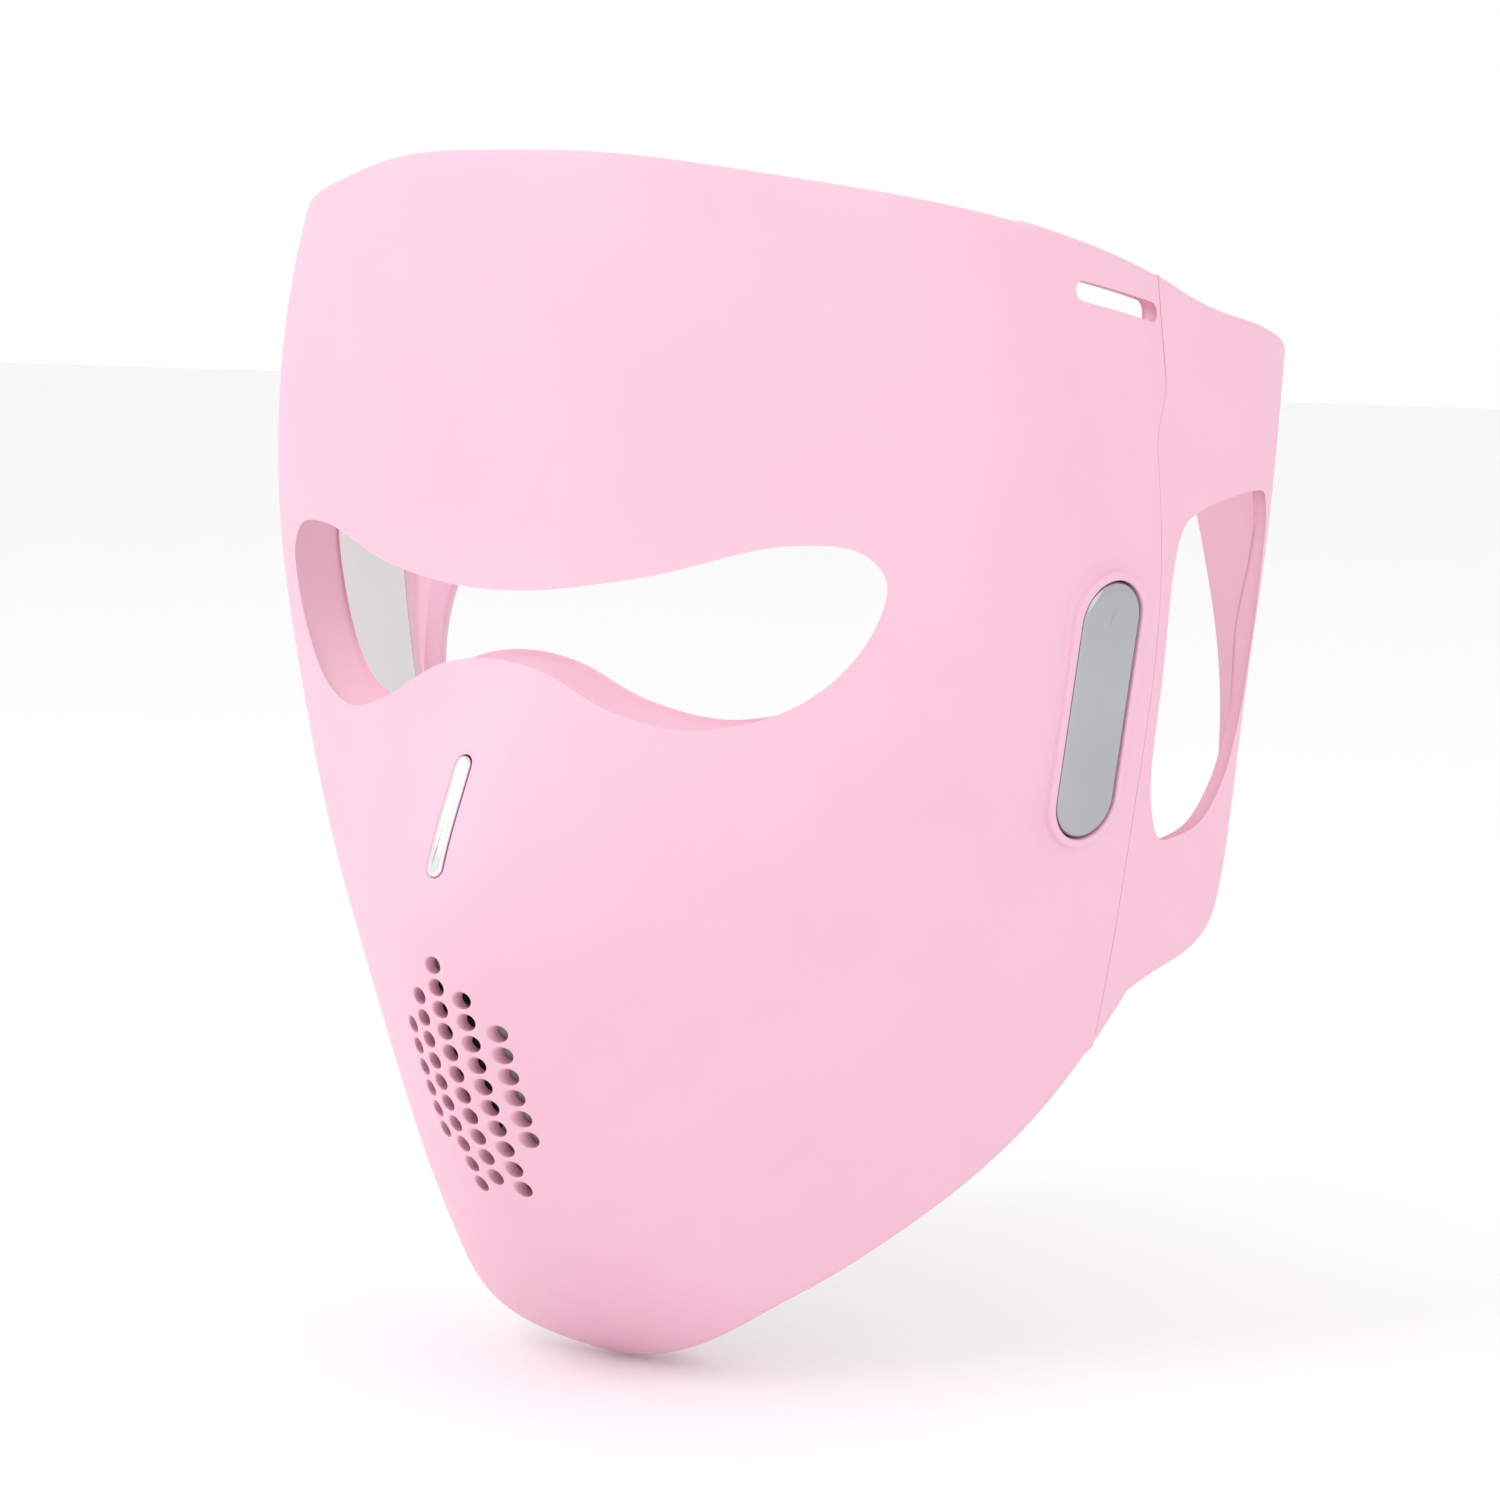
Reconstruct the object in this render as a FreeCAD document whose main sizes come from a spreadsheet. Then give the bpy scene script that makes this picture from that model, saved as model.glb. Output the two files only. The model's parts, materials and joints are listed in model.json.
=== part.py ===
import FreeCAD, Part
import math
import os
import Sketcher
from FreeCAD import Matrix, Placement, Vector

# A full-face massage mask: a curved two-shell body with an eye opening and mouth vents, light
# panels between its shells, a sprung key on each temple and a flexing wing behind each crease.
# +Z is up, the face looks along -Y, +X is the wearer's left. The creases lie in the plane y = 0
# and the chin's lowest edge is at z = 0.

# Overall size at which the stations, outlines and places below are drawn
DRAWN = {"height": 210.0, "breadth": 178.0, "reach": 100.0}

# Driving sizes, millimetres
SIZES = {
    "mask_height": 210.0,
    "mask_breadth": 178.0,
    "mask_reach": 100.0,
    "body_thickness": 10.6,
    "wall": 2.6,
    "rim": 2.4,
    "liner_thickness": 1.5,
    "seat_gap": 0.15,
    "wing_wall": 2.6,
    "crease_gap": 0.3,
    "corner_wall": 3.0,
    "cavity_rear": 7.0,
    "corner_front": 34.0,
    "corner_bottom": 172.0,
    "vent_hole": 3.0,
    "vent_column_pitch": 4.3,
    "vent_row_pitch": 3.83,
    "slot_length": 25.0,
    "slot_width": 5.0,
    "trim_length": 19.2,
    "trim_width": 3.0,
    "trim_proud": 0.6,
    "trim_depth": 1.2,
    "trim_gap": 0.15,
    "key_length": 44.4,
    "key_width": 13.4,
    "key_proud": 1.2,
    "key_reach": 3.7,
    "key_edge": 1.1,
    "key_gap": 0.35,
    "key_skirt": 0.7,
    "key_skirt_room": 0.4,
    "key_skirt_lip": 1.4,
    "key_travel": 0.7,
    "collar_width": 1.5,
    "collar_proud": 0.8,
    "key_board_length": 62.0,
    "key_board_width": 10.0,
    "board_thickness": 0.8,
    "key_board_depth": 7.2,
    "switch_side": 6.0,
    "switch_body": 1.9,
    "plunger_hole": 3.4,
    "plunger_width": 3.2,
    "plunger_gap": 0.1,
    "plunger_sunk": 0.9,
    "boss_width": 5.0,
    "screw_shank": 2.0,
    "screw_hole": 2.2,
    "screw_bite": 4.5,
    "screw_head": 3.8,
    "screw_head_depth": 0.8,
    "key_boss_spread": 54.0,
    "key_boss_width": 4.0,
    "key_screw_shank": 1.6,
    "key_screw_hole": 1.8,
    "key_screw_head": 3.0,
    "key_screw_head_depth": 0.5,
    "key_screw_bite": 2.6,
    "flex_depth": 6.9,
    "flex_thickness": 0.4,
    "led_side": 3.0,
    "led_height": 0.8,
    "led_gap": 0.1,
    "grille_depth": 3.8,
    "grille_thickness": 1.4,
    "grille_overlap": 4.0,
    "mesh_depth": 5.5,
    "mesh_thickness": 0.5,
    "main_board_length": 30.0,
    "main_board_height": 24.0,
    "main_board_depth": 5.6,
    "chip_side": 7.0,
    "chip_height": 1.1,
    "port_width": 9.0,
    "port_height": 3.2,
    "port_length": 7.4,
    "port_wall": 0.35,
    "port_gap": 0.2,
    "battery_length": 22.0,
    "battery_width": 14.0,
    "battery_thickness": 2.5,
    "battery_depth": 3.6,
    "ribbon_depth": 4.9,
    "ribbon_thickness": 0.3,
    "ribbon_width": 5.0,
    "motor_can": 4.0,
    "motor_length": 8.0,
    "motor_depth": 5.9,
    "motor_bore": 0.85,
    "motor_shaft": 0.8,
    "motor_shaft_grip": 4.0,
    "motor_shaft_out": 3.8,
    "motor_weight": 3.8,
    "motor_weight_length": 3.0,
}

# Stations of the face, from under the chin to above the crown. Each gives the height, the reach
# of the middle, the half breadth of the nose ridge, the place of the cheek line, the place of
# the side line and the half breadth at the crease.
STATION_VALUES = ("rise", "front", "ridge", "cheek_x", "cheek_y", "side_x", "side_y", "crease")
STATIONS = {
    "sill": (-14, 22, 9, 28, 30, 36, 12, 45),
    "chin": (0, 45, 8.5, 31, 45, 41, 21, 52),
    "lip": (24, 71, 7, 32.5, 58, 51, 25, 66),
    "mouth": (48, 88, 6.5, 32.5, 67, 60.5, 27, 74),
    "philtrum": (70, 97, 7, 34.5, 73, 68, 30, 78),
    "tip": (88, 100.5, 8, 37, 76.5, 74.5, 32.5, 80),
    "nose": (104, 92, 8.5, 39.5, 76, 79.5, 35, 82),
    "bridge": (122, 82.5, 11, 43, 70.5, 84.5, 38, 84.5),
    "eye": (142, 77.5, 19, 47.5, 66, 88.5, 39.5, 85.5),
    "brow": (166, 78.5, 20.5, 48, 66, 88, 40.5, 83.5),
    "forehead": (192, 79.5, 21, 47.5, 63.5, 83, 40, 80.5),
    "hairline": (212, 76.5, 21.5, 45, 60, 74.5, 37, 80),
    "crown": (228, 71, 22, 42.5, 57.5, 65, 33, 82),
}

# The wing at each station: how far back it bends inwards and how far in its rear edge turns
WING_VALUES = ("wing_back", "wing_turn")
WING_STATIONS = {
    "sill": (13, 1), "chin": (13, 1), "lip": (13, 1), "mouth": (13, 1), "philtrum": (14, 1),
    "tip": (15.5, 1), "nose": (15.5, 1.5), "bridge": (15, 4), "eye": (19.5, 12.5),
    "brow": (27.5, 22), "forehead": (36.5, 22), "hairline": (42, 22), "crown": (44, 22),
}
# Each line of the wing as a share of wing_back, and how far it stands out from the crease
WING_LINES = ((0.0, 0.0), (0.3, 1.2), (0.62, 4.7), (0.98, 7.2), (1.2, 4.6))
WING_EDGE_BACK = 1.0

# Edges of the shell: the top is a plane, given by its height at the front and its fall per mm
TOP_FRONT = (-76.0, 210.4)
TOP_FALL = 0.285
# The jaw edge of the left half, seen along the diagonal: across the diagonal, height
JAW_EDGE = ((-31.1, 0.0), (-26.5, 1.4), (-20.5, 5.2), (-10.0, 12.3), (3.0, 19.2), (14.6, 26.3),
            (24.1, 33.0), (32.1, 39.8), (38.5, 46.4), (44.6, 54.0), (50.0, 61.6), (56.5, 71.0))
# Half of the eye opening where it crosses a plane 70 mm ahead of the creases: across, height.
# Its walls rise a little towards the back.
EYE_EDGE = ((0.0, 140.1), (26.0, 142.6), (47.0, 146.7), (58.5, 144.8), (62.7, 138.4),
            (59.0, 126.5), (49.5, 117.4), (36.0, 114.6), (23.0, 118.3), (10.0, 124.9), (0.0, 126.4))
EYE_PLANE = 70.0
EYE_RISE = 0.12
# The ear opening, seen from the side: back from the crease, height
EAR_EDGE = ((-4.2, 122.0), (-3.2, 101.0), (1.5, 91.8), (8.5, 93.3), (12.8, 101.0), (15.2, 112.0),
            (16.8, 124.0), (19.2, 138.0), (21.4, 148.5), (20.6, 152.6), (10.5, 151.7), (1.5, 147.6),
            (-2.8, 139.0))
# The upper and lower edges of the wing, seen from the side
WING_TOP = ((0.0, 188.4), (14.0, 183.2), (26.0, 179.6), (32.8, 176.2), (37.0, 169.0), (42.0, 152.0))
WING_FOOT = ((0.0, 67.2), (8.5, 72.0), (13.3, 77.4), (16.2, 85.5), (18.4, 96.0), (24.0, 118.0))

# Vents: each column's place in column pitches, its first row in row pitches, and its holes
VENT_COLUMNS = ((-2, 3.0, 6), (-1, 1.5, 10), (0, 0.0, 11), (1, 1.5, 10), (2, 3.0, 6))
VENT_TOP = 77.0
SLOT_PLACE = (-14.2, 184.9)
SLOT_FALL = 0.2
TRIM_MIDDLE = 101.2
KEY_PLACE = (-20.6, 117.0)
GRILLE_WINDOW = (9.0, 28.0)
GRILLE_MIDDLE = 61.0
MOUTH_OPENING = (40.0, 26.0)
MOUTH_MIDDLE = 56.0
PORT_BELOW_TOP = 0.4

# Places on the face, seen from the front: across, height
LINER_SCREWS = ((34.0, 198.0), (66.0, 158.0), (60.0, 88.0), (28.0, 30.0))
FOREHEAD_PANEL = ((-52.0, 169.0), (52.0, 193.0))
CHEEK_PANEL = ((26.0, 66.0), (50.0, 106.0))
CHIN_PANEL = ((-18.0, 12.0), (18.0, 30.0))
PANEL_CORNER = 5.0
FOREHEAD_LEDS = ((-44, -33, -22, -11, 0, 11, 22, 33, 44), (173.5, 181.0, 188.5))
CHEEK_LEDS = ((31, 38, 45), (72, 81, 90, 99))
CHIN_LEDS = ((-12, -4, 4, 12), (17, 25))
MAIN_BOARD_PLACE = (0.0, 188.0)
BATTERY_PLACE = (42.0, 84.0)
MOTOR_PLACE = (30.0, 156.3)
RIBBON_LEVEL = 161.5
RIBBON_FRONT = -34.0
RIBBON_FOOT = 148.0

# Small allowances inside the body
CUT_PAST = 1.5
COLLAR_ROOT = 0.7
TIP_ROOM = 0.5
KEY_HOLE_OUT = 3.5
KEY_HOLE_IN = 2.5
KEY_POCKET = 3.0
PORT_MOUTH = 6.0
PORT_SEAT = 0.5
LINER_HOLE_PLAY = 0.2
HEAD_PLAY = 0.4
HEAD_SINK = 0.2
BORE_START = 2.0
BOARD_HOLE_PLAY = 0.1
WELL_FLOOR = 0.2
TONGUE = (0.7, 1.2, 0.7)
TONGUE_BACK = 0.2

FAR = 320.0
FIND_FROM = (60.0, 84.0)
FIND_STEPS = 12
SKETCH_RADIUS = 5.0
SKETCH_HALF = 12.0
SIDES = (("left", 1), ("right", -1))
DIAGONAL = math.sqrt(0.5)


def make_sheet(doc):
    """Write every driving size and station into the document's spreadsheet."""
    sheet = doc.addObject("Spreadsheet::Sheet", "sizes")
    rows = list(SIZES.items())
    for name in STATIONS:
        rows += [(f"{name}_{key}", value) for key, value in zip(STATION_VALUES, STATIONS[name])]
        rows += [(f"{name}_{key}", value) for key, value in zip(WING_VALUES, WING_STATIONS[name])]
    for row, (alias, value) in enumerate(rows, start=1):
        sheet.set(f"A{row}", alias)
        sheet.set(f"B{row}", str(value))
        sheet.setAlias(f"B{row}", alias)
    doc.recompute()
    return sheet


class Mask:
    """The face's surfaces at any depth, and the cutters that give the shell its edges."""

    def __init__(self, sheet):
        self.sheet = sheet
        self.across = sheet.mask_breadth / DRAWN["breadth"]
        self.back = sheet.mask_reach / DRAWN["reach"]
        self.up = sheet.mask_height / DRAWN["height"]
        self.face_net = self.draw_face()
        self.wing_net = self.draw_wing()
        self.face = surface(self.face_net)

    def point(self, x, y, z):
        """Place a drawn point at the mask's own size."""
        return Vector(x * self.across, y * self.back, z * self.up)

    def draw_face(self):
        """Control net of the outer face: nine lines from crease to crease."""
        net = []
        for line in (-4, -3, -2, -1, 0, 1, 2, 3, 4):
            column = []
            for name in STATIONS:
                rise, front, ridge, cheek_x, cheek_y, side_x, side_y, crease = (
                    getattr(self.sheet, f"{name}_{key}") for key in STATION_VALUES)
                x, y = ((0, -front), (ridge, -front), (cheek_x, -cheek_y), (side_x, -side_y),
                        (crease, 0))[abs(line)]
                column.append(self.point(math.copysign(x, line), y, rise))
            net.append(column)
        return net

    def draw_wing(self):
        """Control net of the left wing's outer face, from the crease to its rear edge."""
        net = [[] for _ in range(len(WING_LINES) + 1)]
        for name in STATIONS:
            rise, crease, back, turn = (getattr(self.sheet, f"{name}_{key}")
                                        for key in ("rise", "crease", "wing_back", "wing_turn"))
            for column, (share, out) in zip(net, WING_LINES):
                column.append(self.point(crease + out, share * back, rise))
            last_share, last_out = WING_LINES[-1]
            net[-1].append(self.point(crease + last_out - turn,
                                      last_share * back + WING_EDGE_BACK, rise))
        return net

    def layer(self, outer, inner):
        """Solid between two depths below the outer face."""
        return slab(sink(self.face_net, outer, (0, -1)), sink(self.face_net, inner, (0, -1)))

    def front_point(self, x, z):
        """Point, outward normal and upward tangent of the face, seen from the front."""
        return self.find(self.point(x, -FIND_FROM[0], z), "y")

    def side_point(self, y, z, side):
        """Point, outward normal and upward tangent of the face, seen from the side."""
        return self.find(self.point(side * FIND_FROM[1], y, z), "x")

    def find(self, wanted, free):
        """Slide the wanted point along its free axis until it lies on the outer face."""
        for _ in range(FIND_STEPS):
            u, v = self.face.parameter(wanted)
            found, normal = self.face.value(u, v), self.face.normal(u, v)
            off = (found - wanted).dot(normal)
            setattr(wanted, free, getattr(wanted, free) + off / getattr(normal, free))
        u, v = self.face.parameter(wanted)
        normal = self.face.normal(u, v)
        upward = self.face.tangent(u, v)[1]
        middle = Vector(0, 0, wanted.z)
        if normal.dot(wanted - middle) < 0:
            normal = normal * -1
        if upward.z < 0:
            upward = upward * -1
        return wanted, normal, upward

    def top_cutter(self, rim):
        """Everything above the plane of the top edge, lowered by a rim."""
        front = self.point(0, *TOP_FRONT)
        fall = TOP_FALL * self.up / self.back
        drop = rim * math.hypot(1, fall)
        ahead, behind = -FAR, FAR
        outline = [Vector(-FAR, y, front.z - fall * (y - front.y) - drop) for y in (ahead, behind)]
        outline += [Vector(-FAR, behind, FAR * 2), Vector(-FAR, ahead, FAR * 2)]
        return prism(outline, Vector(2 * FAR, 0, 0))

    def jaw_cutters(self, rim):
        """Everything below the jaw edge, raised by a rim: one cutter for each half."""
        edge = [(across, height * self.up) for across, height in JAW_EDGE]
        raised = grow(edge, rim, False)
        stretch = (self.across + self.back) / 2
        curve = Part.BSplineCurve()
        curve.interpolate([self.diagonal(across * stretch, height) for across, height in raised])
        first, last = curve.StartPoint, curve.EndPoint
        ahead = Vector(first.x - FAR, first.y - FAR, first.z)
        behind = Vector(last.x + FAR, last.y + FAR, last.z + FAR)
        under = [Vector(p.x, p.y, -FAR) for p in (behind, ahead)]
        outline = [last, behind, *under, ahead, first]
        edges = [curve.toShape()] + [Part.makeLine(a, b) for a, b in zip(outline, outline[1:])]
        face = Part.Face(Part.Wire(edges))
        face.translate(Vector(FAR, -FAR, 0))
        solid = face.extrude(Vector(-2 * FAR, 2 * FAR, 0))
        half = Part.makeBox(2 * FAR, 4 * FAR, 4 * FAR, Vector(0, -2 * FAR, -2 * FAR))
        left = solid.common(half)
        return [left, left.mirror(Vector(), Vector(1, 0, 0))]

    def diagonal(self, across, height):
        """Point of the plane that faces the left cheek."""
        return Vector(across * DIAGONAL, across * DIAGONAL, height)

    def rear_cutter(self, front):
        """Everything behind a plane ahead of the creases."""
        return Part.makeBox(2 * FAR, FAR, 4 * FAR, Vector(-FAR, -front, -2 * FAR))

    def corner_cutter(self, grow_by):
        """The upper rear corners, where the shell is one wall for the strap."""
        front = self.sheet.corner_front * self.back + grow_by
        bottom = self.sheet.corner_bottom * self.up - grow_by
        return Part.makeBox(2 * FAR, FAR, FAR, Vector(-FAR, -front, bottom))

    def eye_cutter(self, rim):
        """The eye opening, grown by a rim, through the whole depth."""
        half = list(EYE_EDGE)
        whole = half + [(-x, z) for x, z in reversed(half[1:-1])]
        scaled = [(x * self.across, z * self.up) for x, z in whole]
        ahead = FAR - EYE_PLANE * self.back
        points = [Vector(x, -FAR, z - EYE_RISE * ahead) for x, z in grow(scaled, rim, True)]
        return Part.Face(closed_curve(points)).extrude(Vector(0, FAR, EYE_RISE * FAR))

    def ear_cutter(self):
        """The ear openings, through both sides."""
        points = [Vector(-FAR, y * self.back, z * self.up) for y, z in EAR_EDGE]
        return Part.Face(closed_curve(points)).extrude(Vector(2 * FAR, 0, 0))

    def hollow(self, outer, inner, rim):
        """A layer kept inside the rims: the room between the shells, or a cover that fits it."""
        sheet = self.sheet
        extra = rim - sheet.rim
        cutters = [self.top_cutter(rim), *self.jaw_cutters(rim),
                   self.rear_cutter(sheet.cavity_rear + extra), self.corner_cutter(rim),
                   self.eye_cutter(rim)]
        return self.layer(outer, inner).cut(cutters)


def sink(net, depth, straight_columns):
    """Move a control net inwards along its own normals.

    The straight columns keep their y, so that every layer ends in the crease plane.
    """
    sunk = []
    for i, column in enumerate(net):
        before, after = net[max(i - 1, 0)], net[min(i + 1, len(net) - 1)]
        moved = []
        for j, pole in enumerate(column):
            low, high = max(j - 1, 0), min(j + 1, len(column) - 1)
            normal = (after[j] - before[j]).cross(column[high] - column[low])
            if i in (k % len(net) for k in straight_columns):
                normal.y = 0
            moved.append(pole - normal.normalize() * depth)
        sunk.append(moved)
    return sunk


def knots(count, degree):
    """Evenly spaced clamped knots and their multiplicities."""
    places = list(range(count - degree + 1))
    return places, [degree + 1] + [1] * (len(places) - 2) + [degree + 1]


def surface(net):
    """Smooth surface of a control net, straight across a net of two columns."""
    degree = min(3, len(net) - 1)
    u_places, u_counts = knots(len(net), degree)
    v_places, v_counts = knots(len(net[0]), 3)
    made = Part.BSplineSurface()
    made.buildFromPolesMultsKnots(net, u_counts, v_counts, u_places, v_places,
                                  False, False, degree, 3)
    return made


def slab(outer, inner):
    """Solid between two nets of the same layout."""
    first = [list(row) for row in zip(*outer)]
    second = [list(row) for row in zip(*inner)]
    nets = [outer, inner, [outer[0], inner[0]], [outer[-1], inner[-1]],
            [first[0], second[0]], [first[-1], second[-1]]]
    shell = Part.makeShell([surface(net).toShape() for net in nets])
    shell.sewShape()
    return positive(Part.makeSolid(shell))


def positive(solid):
    """Turn a solid whose faces point inwards the right way out."""
    if solid.Volume < 0:
        solid.reverse()
    return solid


def prism(points, along):
    """Straight-sided solid from a closed outline."""
    return Part.Face(Part.makePolygon(points + points[:1])).extrude(along)


def closed_curve(points):
    """Smooth closed wire through points."""
    curve = Part.BSplineCurve()
    curve.interpolate(Points=points, PeriodicFlag=True)
    return Part.Wire(curve.toShape())


def grow(points, distance, closed):
    """Move the points of an outline to the left of its own direction."""
    moved = []
    last = len(points) - 1
    for i, (a, b) in enumerate(points):
        before = points[i - 1] if closed or i else points[0]
        after = points[(i + 1) % len(points)] if closed else points[min(i + 1, last)]
        da, db = after[0] - before[0], after[1] - before[1]
        size = math.hypot(da, db)
        moved.append((a - distance * db / size, b + distance * da / size))
    return moved


def stadium(length, width, height):
    """Solid with round ends, standing on the plane z = 0, its length along Y."""
    radius, straight = width / 2, (length - width) / 2
    ends = [Vector(radius, -straight, 0), Vector(radius, straight, 0),
            Vector(-radius, straight, 0), Vector(-radius, -straight, 0)]
    top, bottom = Vector(0, straight + radius, 0), Vector(0, -straight - radius, 0)
    edges = [Part.makeLine(ends[0], ends[1]), Part.Arc(ends[1], top, ends[2]).toShape(),
             Part.makeLine(ends[2], ends[3]), Part.Arc(ends[3], bottom, ends[0]).toShape()]
    return Part.Face(Part.Wire(edges)).extrude(Vector(0, 0, height))


def local_frame(found):
    """Placement on the face: Z outwards, Y up along the face."""
    origin, normal, upward = found
    side = upward.cross(normal).normalize()
    up = normal.cross(side)
    return Placement(Matrix(side.x, up.x, normal.x, origin.x, side.y, up.y, normal.y, origin.y,
                            side.z, up.z, normal.z, origin.z, 0, 0, 0, 1))


def placed(shape, placement):
    """Copy of a shape moved by a placement."""
    moved = shape.copy()
    moved.Placement = placement.multiply(moved.Placement)
    return moved


def lift(x, y, z):
    """Placement that only moves."""
    return Placement(Vector(x, y, z), FreeCAD.Rotation())


class Places:
    """Local frames of everything that sits on the face."""

    def __init__(self, mask):
        self.mask = mask
        sheet = mask.sheet
        self.keys = {}
        for side, sign in SIDES:
            self.keys[side] = local_frame(mask.side_point(*KEY_PLACE, sign))
        self.liner_screws = [self.front(sign * x, z) for x, z in LINER_SCREWS for sign in (1, -1)]
        reach = sheet.key_boss_spread / 2
        self.key_screws = [key.multiply(lift(0, end * reach, 0))
                           for key in self.keys.values() for end in (1, -1)]
        self.main_board = self.front(*MAIN_BOARD_PLACE)
        self.batteries = {side: self.front(sign * BATTERY_PLACE[0], BATTERY_PLACE[1])
                          for side, sign in SIDES}
        self.motors = {side: self.front(sign * MOTOR_PLACE[0], MOTOR_PLACE[1])
                       for side, sign in SIDES}

    def front(self, x, z):
        """Local frame at a drawn front-view place."""
        return local_frame(self.mask.front_point(x, z))

    def leds(self, columns, levels, sign=1):
        """Local frames of a grid of LEDs."""
        return [self.front(sign * x, z) for x in columns for z in levels]


def front_stadium(mask, x, z, length, width, level):
    """Front-view cutter with round ends; its length is along Z, or along X when level."""
    solid = stadium(length, width, FAR)
    if level:
        solid.rotate(Vector(), Vector(0, 0, 1), 90)
    solid.rotate(Vector(), Vector(1, 0, 0), 90)
    solid.translate(mask.point(x, 0, z))
    return solid


def front_panel(mask, corners, sign=1):
    """Front-view cutter with rounded corners between two drawn corners."""
    (x1, z1), (x2, z2) = corners
    low, high = mask.point(x1, 0, z1), mask.point(x2, 0, z2)
    solid = Part.makeBox(high.x - low.x, FAR, high.z - low.z, Vector(low.x, -FAR, low.z))
    upright = [edge for edge in solid.Edges
               if abs(edge.Vertexes[0].Y - edge.Vertexes[1].Y) > FAR / 2]
    solid = solid.makeFillet(PANEL_CORNER, upright)
    return solid if sign > 0 else solid.mirror(Vector(), Vector(1, 0, 0))


def vent_cutters(mask):
    """Round vents over the mouth, each column half a row off its neighbours."""
    sheet = mask.sheet
    middle = mask.point(0, -FAR, VENT_TOP)
    holes = []
    for column, first_row, count in VENT_COLUMNS:
        for row in range(count):
            place = Vector(column * sheet.vent_column_pitch, middle.y,
                           middle.z - (first_row + row) * sheet.vent_row_pitch)
            holes.append(Part.makeCylinder(sheet.vent_hole / 2, FAR, place, Vector(0, 1, 0)))
    return holes


def slot_cutter(mask):
    """Strap slots through both upper corners, along the top edge."""
    sheet = mask.sheet
    solid = stadium(sheet.slot_length, sheet.slot_width, 2 * FAR)
    solid.translate(Vector(0, 0, -FAR))
    solid.rotate(Vector(), Vector(0, 1, 0), 90)
    solid.rotate(Vector(), Vector(1, 0, 0), -math.degrees(math.atan(SLOT_FALL)))
    solid.translate(mask.point(0, *SLOT_PLACE))
    return solid


def port_place(mask, places):
    """Frame of the charging port: on the board's axis, its mouth below the top edge."""
    sheet = mask.sheet
    frame = places.main_board
    depth = sheet.main_board_depth + sheet.board_thickness - sheet.port_height / 2
    top = mask.point(0, *TOP_FRONT).z - PORT_BELOW_TOP
    rise = (top - frame.Base.z) / frame.Rotation.multVec(Vector(0, 1, 0)).z
    return frame.multiply(lift(0, rise, -depth))


def port_block(width, height, length):
    """Flat block with round sides that hangs down from its mouth."""
    solid = stadium(width, height, length)
    solid.rotate(Vector(), Vector(0, 0, 1), 90)
    solid.rotate(Vector(), Vector(1, 0, 0), 90)
    return solid


def shell_shape(mask, places):
    """Outer shell: wall, rims, collars, bosses and every opening."""
    sheet = mask.sheet
    wall, deep = sheet.wall, sheet.body_thickness + CUT_PAST
    body = mask.layer(0, sheet.body_thickness)
    body = body.cut([mask.top_cutter(0), *mask.jaw_cutters(0), mask.eye_cutter(0),
                     mask.rear_cutter(sheet.crease_gap / 2), mask.ear_cutter()])
    body = body.cut(mask.hollow(wall, deep, sheet.rim))
    corner = mask.layer(sheet.corner_wall, deep).common(mask.corner_cutter(0))
    body = body.cut(corner)
    bosses = []
    for frame in places.liner_screws:
        bosses.append(boss(frame, sheet.boss_width, wall / 2, deep))
    cover = mask.layer(sheet.body_thickness - sheet.liner_thickness - sheet.seat_gap,
                       deep + 2 * CUT_PAST)
    bosses = [Part.makeCompound(bosses).cut(cover)]
    key_bosses = [boss(frame, sheet.key_boss_width, wall / 2, sheet.key_board_depth)
                  for frame in places.key_screws]
    bosses.append(Part.makeCompound(key_bosses).common(mask.layer(wall / 2, deep)))
    collars = []
    for frame in places.keys.values():
        extra = 2 * (sheet.key_gap + sheet.collar_width)
        root = wall * COLLAR_ROOT
        collar = stadium(sheet.key_length + extra, sheet.key_width + extra,
                         root + sheet.collar_proud)
        collars.append(placed(collar, frame.multiply(lift(0, 0, -root))))
    body = body.fuse(bosses + collars)
    holes = vent_cutters(mask) + [slot_cutter(mask), trim_block(mask, sheet.trim_gap)]
    for frame in places.liner_screws:
        holes.append(bore(frame, sheet.screw_hole, sheet.body_thickness,
                          sheet.liner_thickness + sheet.screw_bite + TIP_ROOM))
    for frame in places.key_screws:
        holes.append(bore(frame, sheet.key_screw_hole, sheet.key_board_depth + TIP_ROOM,
                          sheet.key_screw_bite + 2 * TIP_ROOM))
    for frame in places.keys.values():
        gap = 2 * sheet.key_gap
        hole = stadium(sheet.key_length + gap, sheet.key_width + gap,
                       KEY_HOLE_IN + wall + KEY_HOLE_OUT)
        holes.append(placed(hole, frame.multiply(lift(0, 0, -wall - KEY_HOLE_IN))))
        room = 2 * (sheet.key_skirt_lip + sheet.key_skirt_room)
        pocket = stadium(sheet.key_length + room, sheet.key_width + room, KEY_POCKET)
        seat = sheet.key_reach - sheet.key_skirt_room
        holes.append(placed(pocket, frame.multiply(lift(0, 0, -seat - KEY_POCKET))))
    gap = 2 * sheet.port_gap
    mouth = port_block(sheet.port_width + gap, sheet.port_height + gap,
                       sheet.port_length + PORT_MOUTH)
    rise = lift(0, PORT_MOUTH - PORT_SEAT, 0)
    holes.append(placed(mouth, port_place(mask, places).multiply(rise)))
    return body.cut(holes)


def boss(frame, width, start, depth):
    """Screw boss that stands inwards from within the wall."""
    return placed(Part.makeCylinder(width / 2, depth - start), frame.multiply(lift(0, 0, -depth)))


def bore(frame, width, depth, length):
    """Round hole from a depth outwards."""
    return placed(Part.makeCylinder(width / 2, length), frame.multiply(lift(0, 0, -depth)))


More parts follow.
